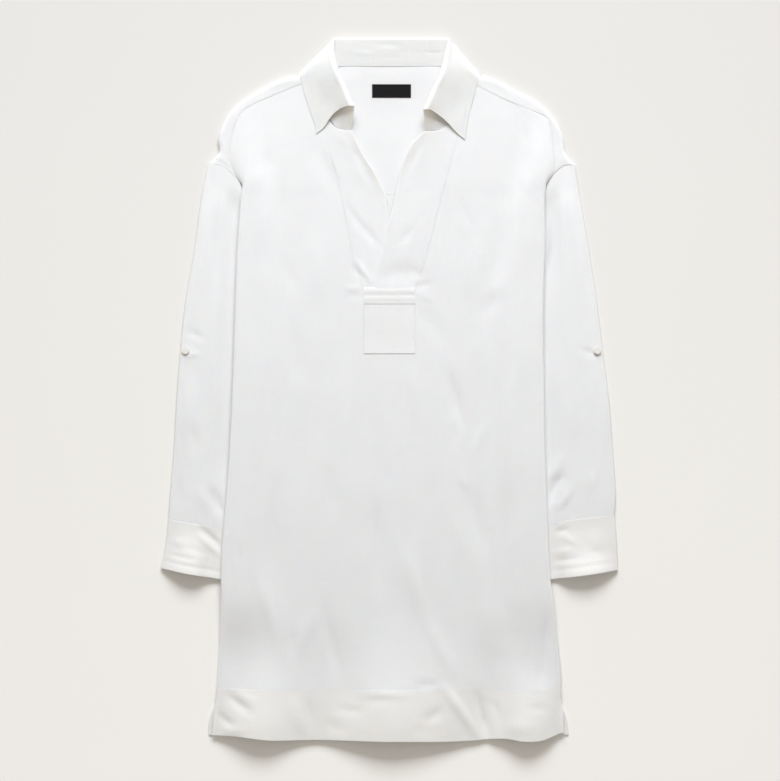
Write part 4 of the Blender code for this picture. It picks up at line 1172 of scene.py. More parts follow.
def soften_edges(mesh, width):
    """Round the free edges of a wall. Those joined to a neighbour stay crisp, so that no groove shows."""
    shape = bmesh.new()
    shape.from_mesh(mesh)
    joined = shape.verts.layers.float["joined"]
    crisp, free = [], []
    for edge in shape.edges:
        if edge.calc_face_angle(0.0) > RIM_ANGLE:
            on_seam = all(vert[joined] > 0.5 for vert in edge.verts)
            (crisp if on_seam else free).append(edge)
    for edge in crisp:
        edge.smooth = False
    bmesh.ops.bevel(shape, geom=free, offset=width, segments=2, profile=0.5, affect="EDGES")
    shape.to_mesh(mesh)
    shape.free()


def only(piece):
    """Select one object and make it the active one."""
    bpy.ops.object.select_all(action="DESELECT")
    piece.select_set(True)
    bpy.context.view_layer.objects.active = piece


def dress(piece, solid, slot):
    """Attach a sheet to the root body and hide the solid it stands for; how large it was cut is looked up but
    not kept.
    """
    cut = CUTS[solid]
    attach(piece, "root")
    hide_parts(solid)
    cut.area and cut.area * MM * MM


# Finishes

def node(tree, kind, **values):
    """A shader node with its plain settings and input values set by name."""
    made = tree.nodes.new(kind)
    for name, value in values.items():
        if name in made.inputs:
            made.inputs[name].default_value = value
        else:
            setattr(made, name, value)
    return made


def maths(tree, operation, a, b=None, clamp=False):
    """Maths node over two sockets or numbers; its value socket."""
    made = node(tree, "ShaderNodeMath", operation=operation, use_clamp=clamp)
    for n, value in enumerate(v for v in (a, b) if v is not None):
        if isinstance(value, (int, float)):
            made.inputs[n].default_value = value
        else:
            tree.links.new(value, made.inputs[n])
    return made.outputs[0]


def new_finish(name):
    """A new material, its nodes and its shader."""
    surface = bpy.data.materials.new(name)
    surface.use_nodes = True
    return surface, surface.node_tree, surface.node_tree.nodes["Principled BSDF"]


def shade(colour, share):
    """A colour made darker or lighter."""
    return [min(c * share, 1.0) for c in colour]


def two_tone(tree, share, low, high):
    """Colour between two, by a socket's share; its colour socket."""
    tone = node(tree, "ShaderNodeMix", data_type="RGBA")
    tone.inputs["A"].default_value = (*low, 1)
    tone.inputs["B"].default_value = (*high, 1)
    tree.links.new(share, tone.inputs["Factor"])
    return tone.outputs["Result"]


def roughened(tree, shader, share, reach, least):
    """Roughness from least up, by a socket's share of a reach."""
    rough = maths(tree, "ADD", maths(tree, "MULTIPLY", share, reach), least)
    tree.links.new(rough, shader.inputs["Roughness"])


def embossed(tree, shader, height, strength, depth):
    """Bump from a socket's height, depth metres high."""
    bump = node(tree, "ShaderNodeBump", Strength=strength, Distance=depth)
    tree.links.new(height, bump.inputs["Height"])
    tree.links.new(bump.outputs[0], shader.inputs["Normal"])


def woven(tree, pitch):
    """The weave's group node on the piece's own map."""
    cloth_uv = node(tree, "ShaderNodeUVMap", uv_map="cloth")
    weave = node(tree, "ShaderNodeGroup", node_tree=weave_group())
    weave.inputs["Pitch"].default_value = pitch
    tree.links.new(cloth_uv.outputs[0], weave.inputs["Map"])
    return weave


def clouded(tree, **values):
    """Noise over places on the piece; its value socket."""
    place = node(tree, "ShaderNodeTexCoord")
    cloud = node(tree, "ShaderNodeTexNoise", **values)
    tree.links.new(place.outputs["Object"], cloud.inputs["Vector"])
    return cloud.outputs["Fac"]


def weave_group():
    """Plain linen weave with uneven threads, from a map in metres: a height, a slub mask and a tone."""
    if "linen_weave" in bpy.data.node_groups:
        return bpy.data.node_groups["linen_weave"]
    tree = bpy.data.node_groups.new("linen_weave", "ShaderNodeTree")
    for name, kind in (("Map", "NodeSocketVector"), ("Pitch", "NodeSocketFloat")):
        tree.interface.new_socket(name, in_out="INPUT", socket_type=kind)
    for name in ("Height", "Slub", "Tone"):
        tree.interface.new_socket(name, in_out="OUTPUT", socket_type="NodeSocketFloat")
    inside, outside = node(tree, "NodeGroupInput"), node(tree, "NodeGroupOutput")
    link = tree.links.new

    bend = node(tree, "ShaderNodeTexNoise", Scale=240.0, Detail=1.0)
    link(inside.outputs["Map"], bend.inputs["Vector"])
    wander = node(tree, "ShaderNodeVectorMath", operation="SCALE", Scale=0.0011)
    link(bend.outputs["Color"], wander.inputs[0])
    bent = node(tree, "ShaderNodeVectorMath", operation="ADD")
    link(inside.outputs["Map"], bent.inputs[0])
    link(wander.outputs[0], bent.inputs[1])
    axes = node(tree, "ShaderNodeSeparateXYZ")
    link(bent.outputs[0], axes.inputs[0])
    waves = []
    for axis in ("X", "Y"):
        turns = maths(tree, "DIVIDE", axes.outputs[axis], inside.outputs["Pitch"])
        waves.append(maths(tree, "SINE", maths(tree, "MULTIPLY", turns, pi)))
    threads = maths(tree, "MULTIPLY", waves[0], waves[1])
    link(maths(tree, "ABSOLUTE", threads), outside.inputs["Height"])

    slubs = []
    for stretch, seed in (((30.0, 900.0, 1.0), 3.0), ((760.0, 26.0, 1.0), 11.0)):
        turned = node(tree, "ShaderNodeMapping", Location=(seed, seed, 0.0), Scale=stretch)
        link(inside.outputs["Map"], turned.inputs["Vector"])
        streak = node(tree, "ShaderNodeTexNoise", Scale=1.0, Detail=2.0, Roughness=0.55)
        link(turned.outputs[0], streak.inputs["Vector"])
        raised = node(tree, "ShaderNodeMapRange", interpolation_type="SMOOTHSTEP")
        link(streak.outputs["Fac"], raised.inputs["Value"])
        for socket, value in (("From Min", 0.58), ("From Max", 0.8)):
            raised.inputs[socket].default_value = value
        slubs.append(raised.outputs[0])
    link(maths(tree, "MAXIMUM", slubs[0], slubs[1]), outside.inputs["Slub"])

    cloud = node(tree, "ShaderNodeTexNoise", Scale=14.0, Detail=3.0, Roughness=0.6)
    link(inside.outputs["Map"], cloud.inputs["Vector"])
    link(cloud.outputs["Fac"], outside.inputs["Tone"])
    return tree


def crumple_group():
    """Fine soft crumples of pressed linen, from places on the piece: a height from 0 to about 1."""
    if "linen_crumple" in bpy.data.node_groups:
        return bpy.data.node_groups["linen_crumple"]
    tree = bpy.data.node_groups.new("linen_crumple", "ShaderNodeTree")
    tree.interface.new_socket("Place", in_out="INPUT", socket_type="NodeSocketVector")
    tree.interface.new_socket("Height", in_out="OUTPUT", socket_type="NodeSocketFloat")
    inside, outside = node(tree, "NodeGroupInput"), node(tree, "NodeGroupOutput")
    heights = []
    for scale, stretch, weight in ((26.0, (1.0, 0.55, 1.0), 0.6), (62.0, (0.7, 1.0, 1.0), 0.25),
                                   (130.0, (1.0, 0.8, 1.0), 0.1)):
        turned = node(tree, "ShaderNodeMapping", Scale=stretch, Rotation=(0.0, 0.0, weight))
        tree.links.new(inside.outputs["Place"], turned.inputs["Vector"])
        swell = node(tree, "ShaderNodeTexNoise", Scale=scale, Detail=1.5, Roughness=0.5)
        tree.links.new(turned.outputs[0], swell.inputs["Vector"])
        heights.append(maths(tree, "MULTIPLY", swell.outputs["Fac"], weight))
    total = maths(tree, "ADD", maths(tree, "ADD", heights[0], heights[1]), heights[2])
    tree.links.new(total, outside.inputs["Height"])
    return tree


# Reliefs in millimetres, roughness of plain threads and of slubs, and how far light goes in
THREAD_RELIEF = 0.05
SLUB_RELIEF = 0.09
PLAIN_ROUGHNESS = 0.95
SLUB_ROUGHNESS = 0.78
SLUB_SHARE = 0.7
LINEN_DEPTH = 2.5
COLLAR_DEPTH = 3.0
LABEL_PITCH = 0.35


def linen(name, colour, sizes, crumple, see_through=0.5, light_depth=LINEN_DEPTH):
    """White linen: woven, slubbed, softly crumpled, its tone a little uneven."""
    if name in bpy.data.materials:
        return bpy.data.materials[name]
    surface, tree, shader = new_finish(name)
    shader.inputs["Sheen Weight"].default_value = 0.04
    shader.inputs["Sheen Roughness"].default_value = 0.6
    shader.inputs["Specular IOR Level"].default_value = 0.25
    shader.inputs["Subsurface Weight"].default_value = see_through
    shader.inputs["Subsurface Radius"].default_value = (1.0, 0.86, 0.7)
    shader.inputs["Subsurface Scale"].default_value = light_depth * MM
    link = tree.links.new

    weave = woven(tree, sizes.thread_pitch)
    place = node(tree, "ShaderNodeTexCoord")
    crumples = node(tree, "ShaderNodeGroup", node_tree=crumple_group())
    link(place.outputs["Object"], crumples.inputs["Place"])

    tone = two_tone(tree, weave.outputs["Tone"], shade(colour, 0.965), shade(colour, 1.03))
    threads = node(tree, "ShaderNodeMix", data_type="RGBA")
    threads.inputs["B"].default_value = (*shade(colour, 1.05), 1)
    link(maths(tree, "MULTIPLY", weave.outputs["Slub"], SLUB_SHARE), threads.inputs["Factor"])
    link(tone, threads.inputs["A"])
    link(threads.outputs["Result"], shader.inputs["Base Color"])
    rough = node(tree, "ShaderNodeMapRange")
    rough.inputs["To Min"].default_value = PLAIN_ROUGHNESS
    rough.inputs["To Max"].default_value = SLUB_ROUGHNESS
    link(weave.outputs["Slub"], rough.inputs["Value"])
    link(rough.outputs[0], shader.inputs["Roughness"])

    fine = maths(tree, "ADD", maths(tree, "MULTIPLY", weave.outputs["Height"], THREAD_RELIEF),
                 maths(tree, "MULTIPLY", weave.outputs["Slub"], SLUB_RELIEF))
    height = maths(tree, "ADD", fine, maths(tree, "MULTIPLY", crumples.outputs["Height"], crumple))
    embossed(tree, shader, height, 1.0, MM)
    return surface


def thread_finish(name, colour):
    """Twisted sewing thread."""
    surface, tree, shader = new_finish(name)
    shader.inputs["Sheen Weight"].default_value = 0.3
    fibres = clouded(tree, Scale=2600.0, Detail=1.0)
    tree.links.new(two_tone(tree, fibres, shade(colour, 0.93), colour), shader.inputs["Base Color"])
    roughened(tree, shader, fibres, 0.3, 0.45)
    embossed(tree, shader, fibres, 0.6, 0.1 * MM)
    return surface


def label_finish():
    """Near-black satin-woven tape."""
    surface, tree, shader = new_finish("label_tape")
    shader.inputs["Specular IOR Level"].default_value = 0.12
    weave = woven(tree, LABEL_PITCH * MM)
    tone = two_tone(tree, weave.outputs["Height"], (0.005, 0.005, 0.006), (0.014, 0.014, 0.016))
    tree.links.new(tone, shader.inputs["Base Color"])
    roughened(tree, shader, weave.outputs["Tone"], 0.3, 0.45)
    embossed(tree, shader, weave.outputs["Height"], 0.8, 0.05 * MM)
    return surface


def shell_finish():
    """Pearl-white button shell, cloudy and glossy."""
    surface, tree, shader = new_finish("pearl_shell")
    shader.inputs["Coat Weight"].default_value = 0.4
    cloud = clouded(tree, Scale=420.0, Detail=3.0, Distortion=1.4)
    tone = two_tone(tree, cloud, (0.74, 0.72, 0.68), (0.88, 0.87, 0.84))
    tree.links.new(tone, shader.inputs["Base Color"])
    roughened(tree, shader, cloud, 0.2, 0.22)
    return surface


def floor_finish(colour):
    """Pale paper, its colour painted darker towards the window and lighter away from it, so that the fall-off
    of the light beyond the collar doesn't show on it as a slope of tone.
    """
    surface, tree, shader = new_finish("floor_paper")
    shader.inputs["Roughness"].default_value = 0.9
    shader.inputs["Specular IOR Level"].default_value = 0.2
    place = node(tree, "ShaderNodeTexCoord")
    cloud = node(tree, "ShaderNodeTexNoise", Scale=3.0, Detail=3.0)
    tree.links.new(place.outputs["Object"], cloud.inputs["Vector"])
    tone = two_tone(tree, cloud.outputs["Fac"], shade(colour, 0.992), shade(colour, 1.008))
    axes = node(tree, "ShaderNodeSeparateXYZ")
    tree.links.new(place.outputs["Object"], axes.inputs[0])
    # Painted counter-shade: the paper's colour is scaled by its Y, down near the window and up away from it
    level = node(tree, "ShaderNodeMapRange")
    for socket, value in FLOOR_COUNTERSHADE.items():
        level.inputs[socket].default_value = value
    tree.links.new(axes.outputs["Y"], level.inputs["Value"])
    countershaded = node(tree, "ShaderNodeVectorMath", operation="SCALE")
    tree.links.new(tone, countershaded.inputs[0])
    tree.links.new(level.outputs[0], countershaded.inputs["Scale"])
    tree.links.new(countershaded.outputs[0], shader.inputs["Base Color"])
    return surface


# Stitches

# Thread and stitch sizes in millimetres, and the share of the pitch that one stitch fills
THREAD_WIDTH = 0.42
THREAD_HEIGHT = 0.3
STITCH_SHARE = 0.74
STITCH_ENDS = (0.14, 0.86)
STITCH_SINK = 0.02
STITCH_STEEPEST = 1.3
HEM_STITCH_DROP = 2.2
ABOVE_ALL = 80.0

Row = namedtuple("Row", "on points")
STITCH_ROWS = {
    "hem_stitches": [
        Row(("front_hem_cloth",), "hem"),
    ],
    "placket_stitches": [
        Row(("placket_bar_cloth",),
            [(BOX_LEFT + 1.5, BAR_STITCH_Y), (BOX_RIGHT - 1.5, BAR_STITCH_Y)]),
        Row(("placket_bar_cloth",),
            [(BOX_LEFT + 1.5, BAR_BOTTOM + 1.8), (BOX_RIGHT - 1.5, BAR_BOTTOM + 1.8)]),
        Row(("placket_box_cloth",),
            [(BOX_LEFT + 1.6, BAR_BOTTOM - 1), (BOX_LEFT + 1.6, BOX_BOTTOM + 1.8),
             (BOX_RIGHT - 1.6, BOX_BOTTOM + 1.8), (BOX_RIGHT - 1.6, BAR_BOTTOM - 1)]),
        Row(("placket_left_cloth", "placket_right_cloth"),
            [(24, 140), (10, 167), (0, 198), (-6.4, 229), (-9.8, 252), (-16, 264), (-27, 284), (-44.5, 311)]),
        Row(("placket_left_cloth", "placket_right_cloth"),
            [(-14, 140), (-12, 151), (-6, 182), (1, 213), (8, 240), (12, 260), (16, 279), (22, 299),
             (33, 319)]),
    ],
    "seam_stitches": [
        Row(("front_cloth",), [(205.5, -262), (210.5, -296), (214, -330), (217.5, -386)]),
        Row(("yoke_cloth", "front_cloth"), [(-106, 400.5), (-143.5, 387.6), (-177, 373.2), (-188, 366)]),
        Row(("yoke_cloth", "front_cloth"), [(106, 399.0), (142, 382.8), (171, 369.8), (196, 360)]),
        Row(("yoke_cloth",), [(-200.5, 350), (-208, 330), (-211, 308), (-208, 293), (-202, 280)]),
        Row(("yoke_cloth",), [(208.5, 348), (211.5, 336), (215, 308), (216.5, 294), (215, 284)]),
        Row(("yoke_cloth",), [(-233, 297.2), (-220, 298), (-207, 285)]),
        Row(("yoke_cloth",), [(239, 294.8), (228, 298), (217, 286)]),
    ],
    "cuff_stitches": [
        Row(("cuff_left_cloth",), [(-294.8, -222.8), (-256, -230.5), (-214, -239.3)]),
        Row(("cuff_left_cloth",), [(-286.5, -171.8), (-256, -177.6), (-216, -184.6)]),
        Row(("cuff_right_cloth",), [(293.6, -224.9), (252, -230.5), (206, -236.4)]),
        Row(("cuff_right_cloth",), [(290.4, -165.7), (252, -170.2), (206, -175.8)]),
    ],
    "collar_stitches": [
        Row(("collar_cloth",), [(-107.5, 399), (-104, 385), (-98.5, 364), (-93.5, 348), (-91.5, 340),
                                (-80, 349), (-72, 361), (-60, 369.5)]),
        Row(("collar_cloth",), [(105.5, 396), (102.5, 380), (97.5, 360), (94.5, 342), (93, 333.5),
                                (80, 343), (70, 355), (57, 365)]),
        Row(("collar_cloth",), [(-58, 421.8), (-20, 422), (20, 422), (58, 421.8)]),
    ],
    "label_stitches": [
        Row(("neck_label_cloth",),
            [(LABEL_LEFT + 1.2, LABEL_BOTTOM + 1.5), (LABEL_LEFT + 1.2, LABEL_TOP - 1.5)]),
        Row(("neck_label_cloth",),
            [(LABEL_RIGHT - 1.2, LABEL_BOTTOM + 1.5), (LABEL_RIGHT - 1.2, LABEL_TOP - 1.5)]),
    ],
}


def one_stitch(length):
    """Corners and faces of one stitch along X, a small capsule lying half sunk. Each run gives one order."""
    bpy.ops.object.select_all(action="DESELECT")
    bpy.ops.mesh.primitive_uv_sphere_add(segments=6, ring_count=4, radius=0.5, rotation=(0, pi / 2, 0))
    bpy.ops.object.transform_apply(rotation=True)
    pattern = bpy.context.object
    bpy.ops.object.mode_set(mode="EDIT")
    bpy.ops.mesh.select_all(action="SELECT")
    bpy.ops.transform.resize(value=(length, THREAD_WIDTH * MM, THREAD_HEIGHT * MM))
    bpy.ops.object.mode_set(mode="OBJECT")
    corners = np.array([vert.co[:] for vert in pattern.data.vertices])
    rings = [list(face.vertices) for face in pattern.data.polygons]
    bpy.data.objects.remove(pattern)
    return corners, sorted(min(ring[n:] + ring[:n] for n in range(len(ring))) for ring in rings)


def hem_line():
    """Plan places of the stitches just under the hem seam."""
    return [(x, seam_wander(x) - HEM_STITCH_DROP) for x in np.linspace(-216, 213, 40)]


def row_places(points, pitch):
    """Pairs of plan places, one pair for the ends of each stitch along a smooth curve."""
    lengths = np.concatenate([[0.0], np.cumsum([hypot(b[0] - a[0], b[1] - a[1])
                                                for a, b in zip(points, points[1:])])])
    count = max(int(lengths[-1] / pitch), 1)
    curve = np.array(points, float)
    return [between(lengths, curve, (np.arange(count) + end) / count * lengths[-1]) for end in STITCH_ENDS]


def land(trees, x, y):
    """Place and normal where a plan place meets the uppermost of some pieces."""
    start = Vector(((x - CENTRE_X) * MM, (y - CENTRE_Y) * MM, ABOVE_ALL * MM))
    hits = [tree.ray_cast(start, Vector((0, 0, -1))) for tree in trees]
    hits = [hit for hit in hits if hit[0] is not None]
    return max(hits, key=lambda hit: hit[0].z)[:2] if hits else None


def sew(name, rows, surface, pitch):
    """One piece of all the stitches of a group of seams, each laid on the cloth seen from above."""
    corners, faces = one_stitch(pitch * STITCH_SHARE * MM)
    verts, polygons = [], []
    for row in rows:
        depsgraph = bpy.context.evaluated_depsgraph_get()
        trees = [BVHTree.FromObject(bpy.data.objects[piece], depsgraph) for piece in row.on]
        starts, stops = row_places(hem_line() if row.points == "hem" else row.points, pitch)
        for a, b in zip(starts, stops):
            first, last = land(trees, *a), land(trees, *b)
            if not first or not last or abs(first[0].z - last[0].z) > STITCH_STEEPEST * MM:
                continue
            ahead = (last[0] - first[0]).normalized()
            beside = (first[1] + last[1]).cross(ahead).normalized()
            turn = Matrix((ahead, beside, ahead.cross(beside))).transposed()
            middle = (first[0] + last[0]) / 2 - turn.col[2] * STITCH_SINK * MM
            base = len(verts)
            verts.extend((turn @ Vector(corner) + middle)[:] for corner in corners)
            polygons.extend([base + n for n in face] for face in faces)
    mesh = bpy.data.meshes.new(name)
    mesh.from_pydata(verts, [], polygons)
    mesh.materials.append(surface)
    piece = bpy.data.objects.new(name, mesh)
    bpy.context.scene.collection.objects.link(piece)
    only(piece)
    bpy.ops.object.shade_smooth()
    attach(piece, "root")


# What a user would change

class DressCloth(bpy.types.PropertyGroup):
    """Colours and sizes of the dress's cloth and thread."""
    linen_colour: bpy.props.FloatVectorProperty(
        name="Linen", description="Colour of the single cloth", subtype="COLOR", size=3,
        default=(0.83, 0.826, 0.829), min=0, max=1)
    double_colour: bpy.props.FloatVectorProperty(
        name="Doubled linen", description="Colour of the collar, cuffs and hems", subtype="COLOR", size=3,
        default=(0.818, 0.808, 0.796), min=0, max=1)
    collar_colour: bpy.props.FloatVectorProperty(
        name="Collar", description="Colour of the collar, stiffened and closer woven", subtype="COLOR",
        size=3, default=(0.878, 0.838, 0.796), min=0, max=1)
    patch_colour: bpy.props.FloatVectorProperty(
        name="Box", description="Colour of the doubled box and bar below the neck slit", subtype="COLOR",
        size=3, default=(0.885, 0.868, 0.858), min=0, max=1)
    thread_colour: bpy.props.FloatVectorProperty(
        name="Thread", description="Colour of the sewing thread", subtype="COLOR", size=3,
        default=(0.86, 0.855, 0.84), min=0, max=1)
    label_thread_colour: bpy.props.FloatVectorProperty(
        name="Label thread", description="Colour of the thread that holds the label", subtype="COLOR", size=3,
        default=(0.03, 0.03, 0.032), min=0, max=1)
    thread_pitch: bpy.props.FloatProperty(
        name="Thread pitch", description="Distance between neighbouring threads of the weave",
        default=0.62 * MM, min=0.2 * MM, max=3 * MM, unit="LENGTH", precision=5)
    cell: bpy.props.FloatProperty(
        name="Cell", description="Largest cell of a body panel's mesh",
        default=3.6 * MM, min=1.5 * MM, max=20 * MM, unit="LENGTH", precision=4)
    crumple: bpy.props.FloatProperty(
        name="Crumple", description="Height of the fine soft crumples in millimetres",
        default=0.5, min=0, max=3)
    stitch_length: bpy.props.FloatProperty(
        name="Stitch length", description="Length of one stitch with its gap",
        default=3.0 * MM, min=1 * MM, max=8 * MM, unit="LENGTH", precision=4)


class DressStage(bpy.types.PropertyGroup):
    """Floor, lights and camera."""
    floor_colour: bpy.props.FloatVectorProperty(
        name="Floor", description="Colour of the floor", subtype="COLOR", size=3,
        default=(0.84, 0.825, 0.8), min=0, max=1)
    camera_height: bpy.props.FloatProperty(
        name="Camera height", description="Height of the camera over the floor",
        default=2.6, min=0.5, max=10, unit="LENGTH")
    pixel_size: bpy.props.FloatProperty(
        name="Pixel size", description="Size on the dress of one pixel of the picture",
        default=1.3 * MM, min=0.1 * MM, max=10 * MM, unit="LENGTH", precision=5)
    window_power: bpy.props.FloatProperty(
        name="Window power", description="Power of the soft light beyond the collar",
        default=186.0, min=0, max=1000, unit="POWER")
    ceiling_power: bpy.props.FloatProperty(
        name="Ceiling power", description="Power of the soft light overhead",
        default=6.0, min=0, max=1000, unit="POWER")
    room_light: bpy.props.FloatProperty(
        name="Room light", description="Strength of the light from all round", default=0.385, min=0, max=5)


def single(context):
    sizes = context.scene.dress_cloth
    return linen("single_cloth", sizes.linen_colour, sizes, sizes.crumple)


def collar_linen(context):
    sizes = context.scene.dress_cloth
    return linen("collar_cloth", sizes.collar_colour, sizes, sizes.crumple * 0.3, see_through=1.0,
                 light_depth=COLLAR_DEPTH)


def patch_linen(context):
    sizes = context.scene.dress_cloth
    return linen("patch_cloth", sizes.patch_colour, sizes, sizes.crumple)


def doubled(context):
    sizes = context.scene.dress_cloth
    return linen("doubled_cloth", sizes.double_colour, sizes, sizes.crumple * 0.6)


def plan(shape):
    """Plan places of a grid's points, as two arrays."""
    return shape.points[:, :, 0], shape.points[:, :, 1]


def body_drape(x, y):
    """Creases and soft swell of the front of the body, for the panel and what is sewn on it."""
    streaks = 0.55 * rumple(x, y, size=17, seed=8.3, stretch=6.0) * smooth((230 - y) / 200)
    swell = 0.5 * rumple(x, y, size=42, seed=1.7, stretch=1.8)
    return BODY_CREASE_SHARE * crease_height(BODY_CREASES, x, y) + streaks + swell


def raised(shape, height, share=1.0):
    """The same grid with its heights changed."""
    points = shape.points.copy()
    points[:, :, 2] += height * share
    return Grid(points, shape.columns, shape.rows)


def side_share(shape):
    """0 on the turned-under sides of the front, 1 on top."""
    inward = np.minimum(shape.columns, FRONT_COLUMNS - shape.columns)
    return smooth((inward - 1.0) / (FOLD_CELLS - 0.5))[None, :]


def front_shape(context, rows, place):
    """Fine grid of a piece of the front, creased on top and plain where it turns under."""
    shape = grid(FRONT_COLUMNS, rows, place, context.scene.dress_cloth.cell / MM)
    return raised(shape, body_drape(*plan(shape)), side_share(shape))


class DRESS_OT_back(bpy.types.Operator):
    """Back panel and its hem, on the floor and over the tucked sleeves"""
    bl_idname = "dress.back"
    bl_label = "Back"

    def execute(self, context):
        cell = BACK_CELL_SHARE * context.scene.dress_cloth.cell / MM
        shape = grid(BACK_COLUMNS, len(BACK_ROWS) - 1, back_point, cell)
        x, y = plan(shape)
        drape = crease_height(BACK_CREASES, x, y) * smooth((240 - y) / 60)
        panel = make_cloth("back_cloth", raised(shape, np.maximum(drape, 0)), WALL, single(context))
        hem = make_cloth("back_hem_cloth", grid(BACK_COLUMNS, HEM_ROWS, back_hem_point, cell), DOUBLE_WALL,
                         doubled(context))
        dress(panel, "back_panel", "linen")
        dress(hem, "back_hem_band", "double_linen")
        return {"FINISHED"}


class DRESS_OT_front(bpy.types.Operator):
    """Front panel, folded under at its sides, and its hem band"""
    bl_idname = "dress.front"
    bl_label = "Front"

    def execute(self, context):
        panel = make_cloth("front_cloth", front_shape(context, FRONT_ROWS, front_point), WALL,
                           single(context), front_kept, joined=(HALF_COLUMNS, HALF_COLUMNS + CENTRE_CELLS))
        hem = make_cloth("front_hem_cloth", front_shape(context, HEM_ROWS, front_hem_point), DOUBLE_WALL,
                         doubled(context))
        dress(panel, "front_panel", "linen")
        dress(hem, "front_hem_band", "double_linen")
        return {"FINISHED"}


class DRESS_OT_yoke(bpy.types.Operator):
    """Back yoke, over the shoulders to the forward seams"""
    bl_idname = "dress.yoke"
    bl_label = "Yoke"

    def execute(self, context):
        cell = context.scene.dress_cloth.cell / MM
        breaks = (SHOULDER_COLUMNS - 1, SHOULDER_COLUMNS + len(NECK_COLUMNS))
        shape = grid(YOKE_COLUMNS, YOKE_ROWS, yoke_point, cell, breaks=breaks)
        x, y = plan(shape)
        drape = crease_height(YOKE_CREASES, x, y) + 0.4 * rumple(x, y, size=34, seed=6.1)
        inner = (shape.rows[:, None] < YOKE_FLOOR + 0.5) * smooth((150 - np.abs(x)) / 30)
        outer = smooth((shape.rows[:, None] - YOKE_FLOOR - 1.5) / 1.5)
        piece = make_cloth("yoke_cloth", raised(shape, drape, np.maximum(inner, outer)), WALL,
                           single(context), yoke_kept)
        dress(piece, "yoke", "linen")
        return {"FINISHED"}


class DRESS_OT_placket(bpy.types.Operator):
    """Placket bands along the neck slit, with the stitched box and bar at its foot"""
    bl_idname = "dress.placket"
    bl_label = "Placket"

    def execute(self, context):
        for side in ("left", "right"):
            shape = grid(BAND_COLUMNS, BAND_ROWS, band_place(side), BAND_CELL)
            drape = body_drape(*plan(shape))
            piece = make_cloth("placket_" + side + "_cloth", raised(shape, drape), WALL, single(context),
                               joined=(0,))
            dress(piece, "placket_band_" + side, "linen")
        for solid, low, high, rows, height in (("placket_box", BOX_BOTTOM, BOX_TOP, 5, box_height),
                                               ("placket_bar", BAR_BOTTOM, BAR_TOP, 18, bar_height)):
            place = patch_place(BOX_LEFT, BOX_RIGHT, low, high, PATCH_COLUMNS, rows, height)
            shape = grid(PATCH_COLUMNS, rows, place, BAND_CELL, row_cell=PATCH_ROW_CELL)
            drape = body_drape(*plan(shape))
            piece = make_cloth(solid + "_cloth", raised(shape, drape), PATCH_WALL, patch_linen(context))
            dress(piece, solid, "double_linen")
        return {"FINISHED"}


class DRESS_OT_collar(bpy.types.Operator):
    """Collar: the stand up from the neck seam, rolled over into the leaf"""
    bl_idname = "dress.collar"
    bl_label = "Collar"

    def execute(self, context):
        shape = grid(COLLAR_COLUMNS, COLLAR_ROWS, collar_place, COLLAR_CELL, row_cell=COLLAR_ROW_CELL)
        x, y = plan(shape)
        drape = crease_height(COLLAR_CREASES, x, y) + 0.35 * rumple(x, y, size=20, seed=3.3)
        open_part = smooth((shape.rows - 0.4) / 0.8) * smooth((COLLAR_ROWS - shape.rows) / 0.8)
        over_stand = 1 - smooth((y - 424) / 6) * (shape.rows > COLLAR_CREST_ROW)[:, None]
        piece = make_cloth("collar_cloth", raised(shape, drape * over_stand, open_part[:, None]), COLLAR_WALL,
                           collar_linen(context))
        dress(piece, "collar", "double_linen")
        return {"FINISHED"}


class DRESS_OT_sleeves(bpy.types.Operator):
    """Sleeves and their deep cuffs, flattened tubes tucked under the body"""
    bl_idname = "dress.sleeves"
    bl_label = "Sleeves"

    def execute(self, context):
        for side in ("left", "right"):
            for kind, surface, slot in (("sleeve", single(context), "linen"),
                                        ("cuff", doubled(context), "double_linen")):
                tube, solid = TUBES[kind], kind + "_" + side
                shape = grid(RING_CELLS, tube.rows, ring_place(side, tube), tube.cell, ring=True)
                x, y = plan(shape)
                on_top = smooth((shape.columns - RING_CELLS / 2 - 1) / 1.5)
                on_top = on_top * smooth((RING_CELLS - 0.5 - shape.columns) / 1.5)
                swell = 0.5 * rumple(x, y, size=30, seed=5.2, stretch=2.2)
                drape = tube.crease_share * crease_height(tube.creases, x, y) + swell
                piece = make_cloth(solid + "_cloth", raised(shape, drape, on_top[None, :]), tube.wall,
                                   surface, ring=True)
                dress(piece, solid, slot)
        return {"FINISHED"}


class DRESS_OT_label(bpy.types.Operator):
    """Bare woven label inside the back neck"""
    bl_idname = "dress.label"
    bl_label = "Label"

    def execute(self, context):
        place = patch_place(LABEL_LEFT, LABEL_RIGHT, LABEL_BOTTOM, LABEL_TOP, 4, 2, label_height)
        piece = make_cloth("neck_label_cloth", grid(4, 2, place, LABEL_CELL), LABEL_WALL, label_finish())
        dress(piece, "neck_label", "label_weave")
        return {"FINISHED"}


class DRESS_OT_buttons(bpy.types.Operator):
    """Shell finish of the roll tabs' buttons"""
    bl_idname = "dress.buttons"
    bl_label = "Buttons"

    def execute(self, context):
        surface = shell_finish()
        for side in ("left", "right"):
            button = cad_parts["tab_button_" + side]
            for place in button.material_slots:
                place.material = surface
        return {"FINISHED"}


class DRESS_OT_stitches(bpy.types.Operator):
    """Rows of stitches on the seams, one stitch modelled once and copied"""
    bl_idname = "dress.stitches"
    bl_label = "Stitches"

    def execute(self, context):
        sizes = context.scene.dress_cloth
        thread = thread_finish("sewing_thread", sizes.thread_colour)
        dark = thread_finish("label_thread", sizes.label_thread_colour)
        for name, rows in STITCH_ROWS.items():
            sew(name, rows, dark if name == "label_stitches" else thread, sizes.stitch_length / MM)
        return {"FINISHED"}


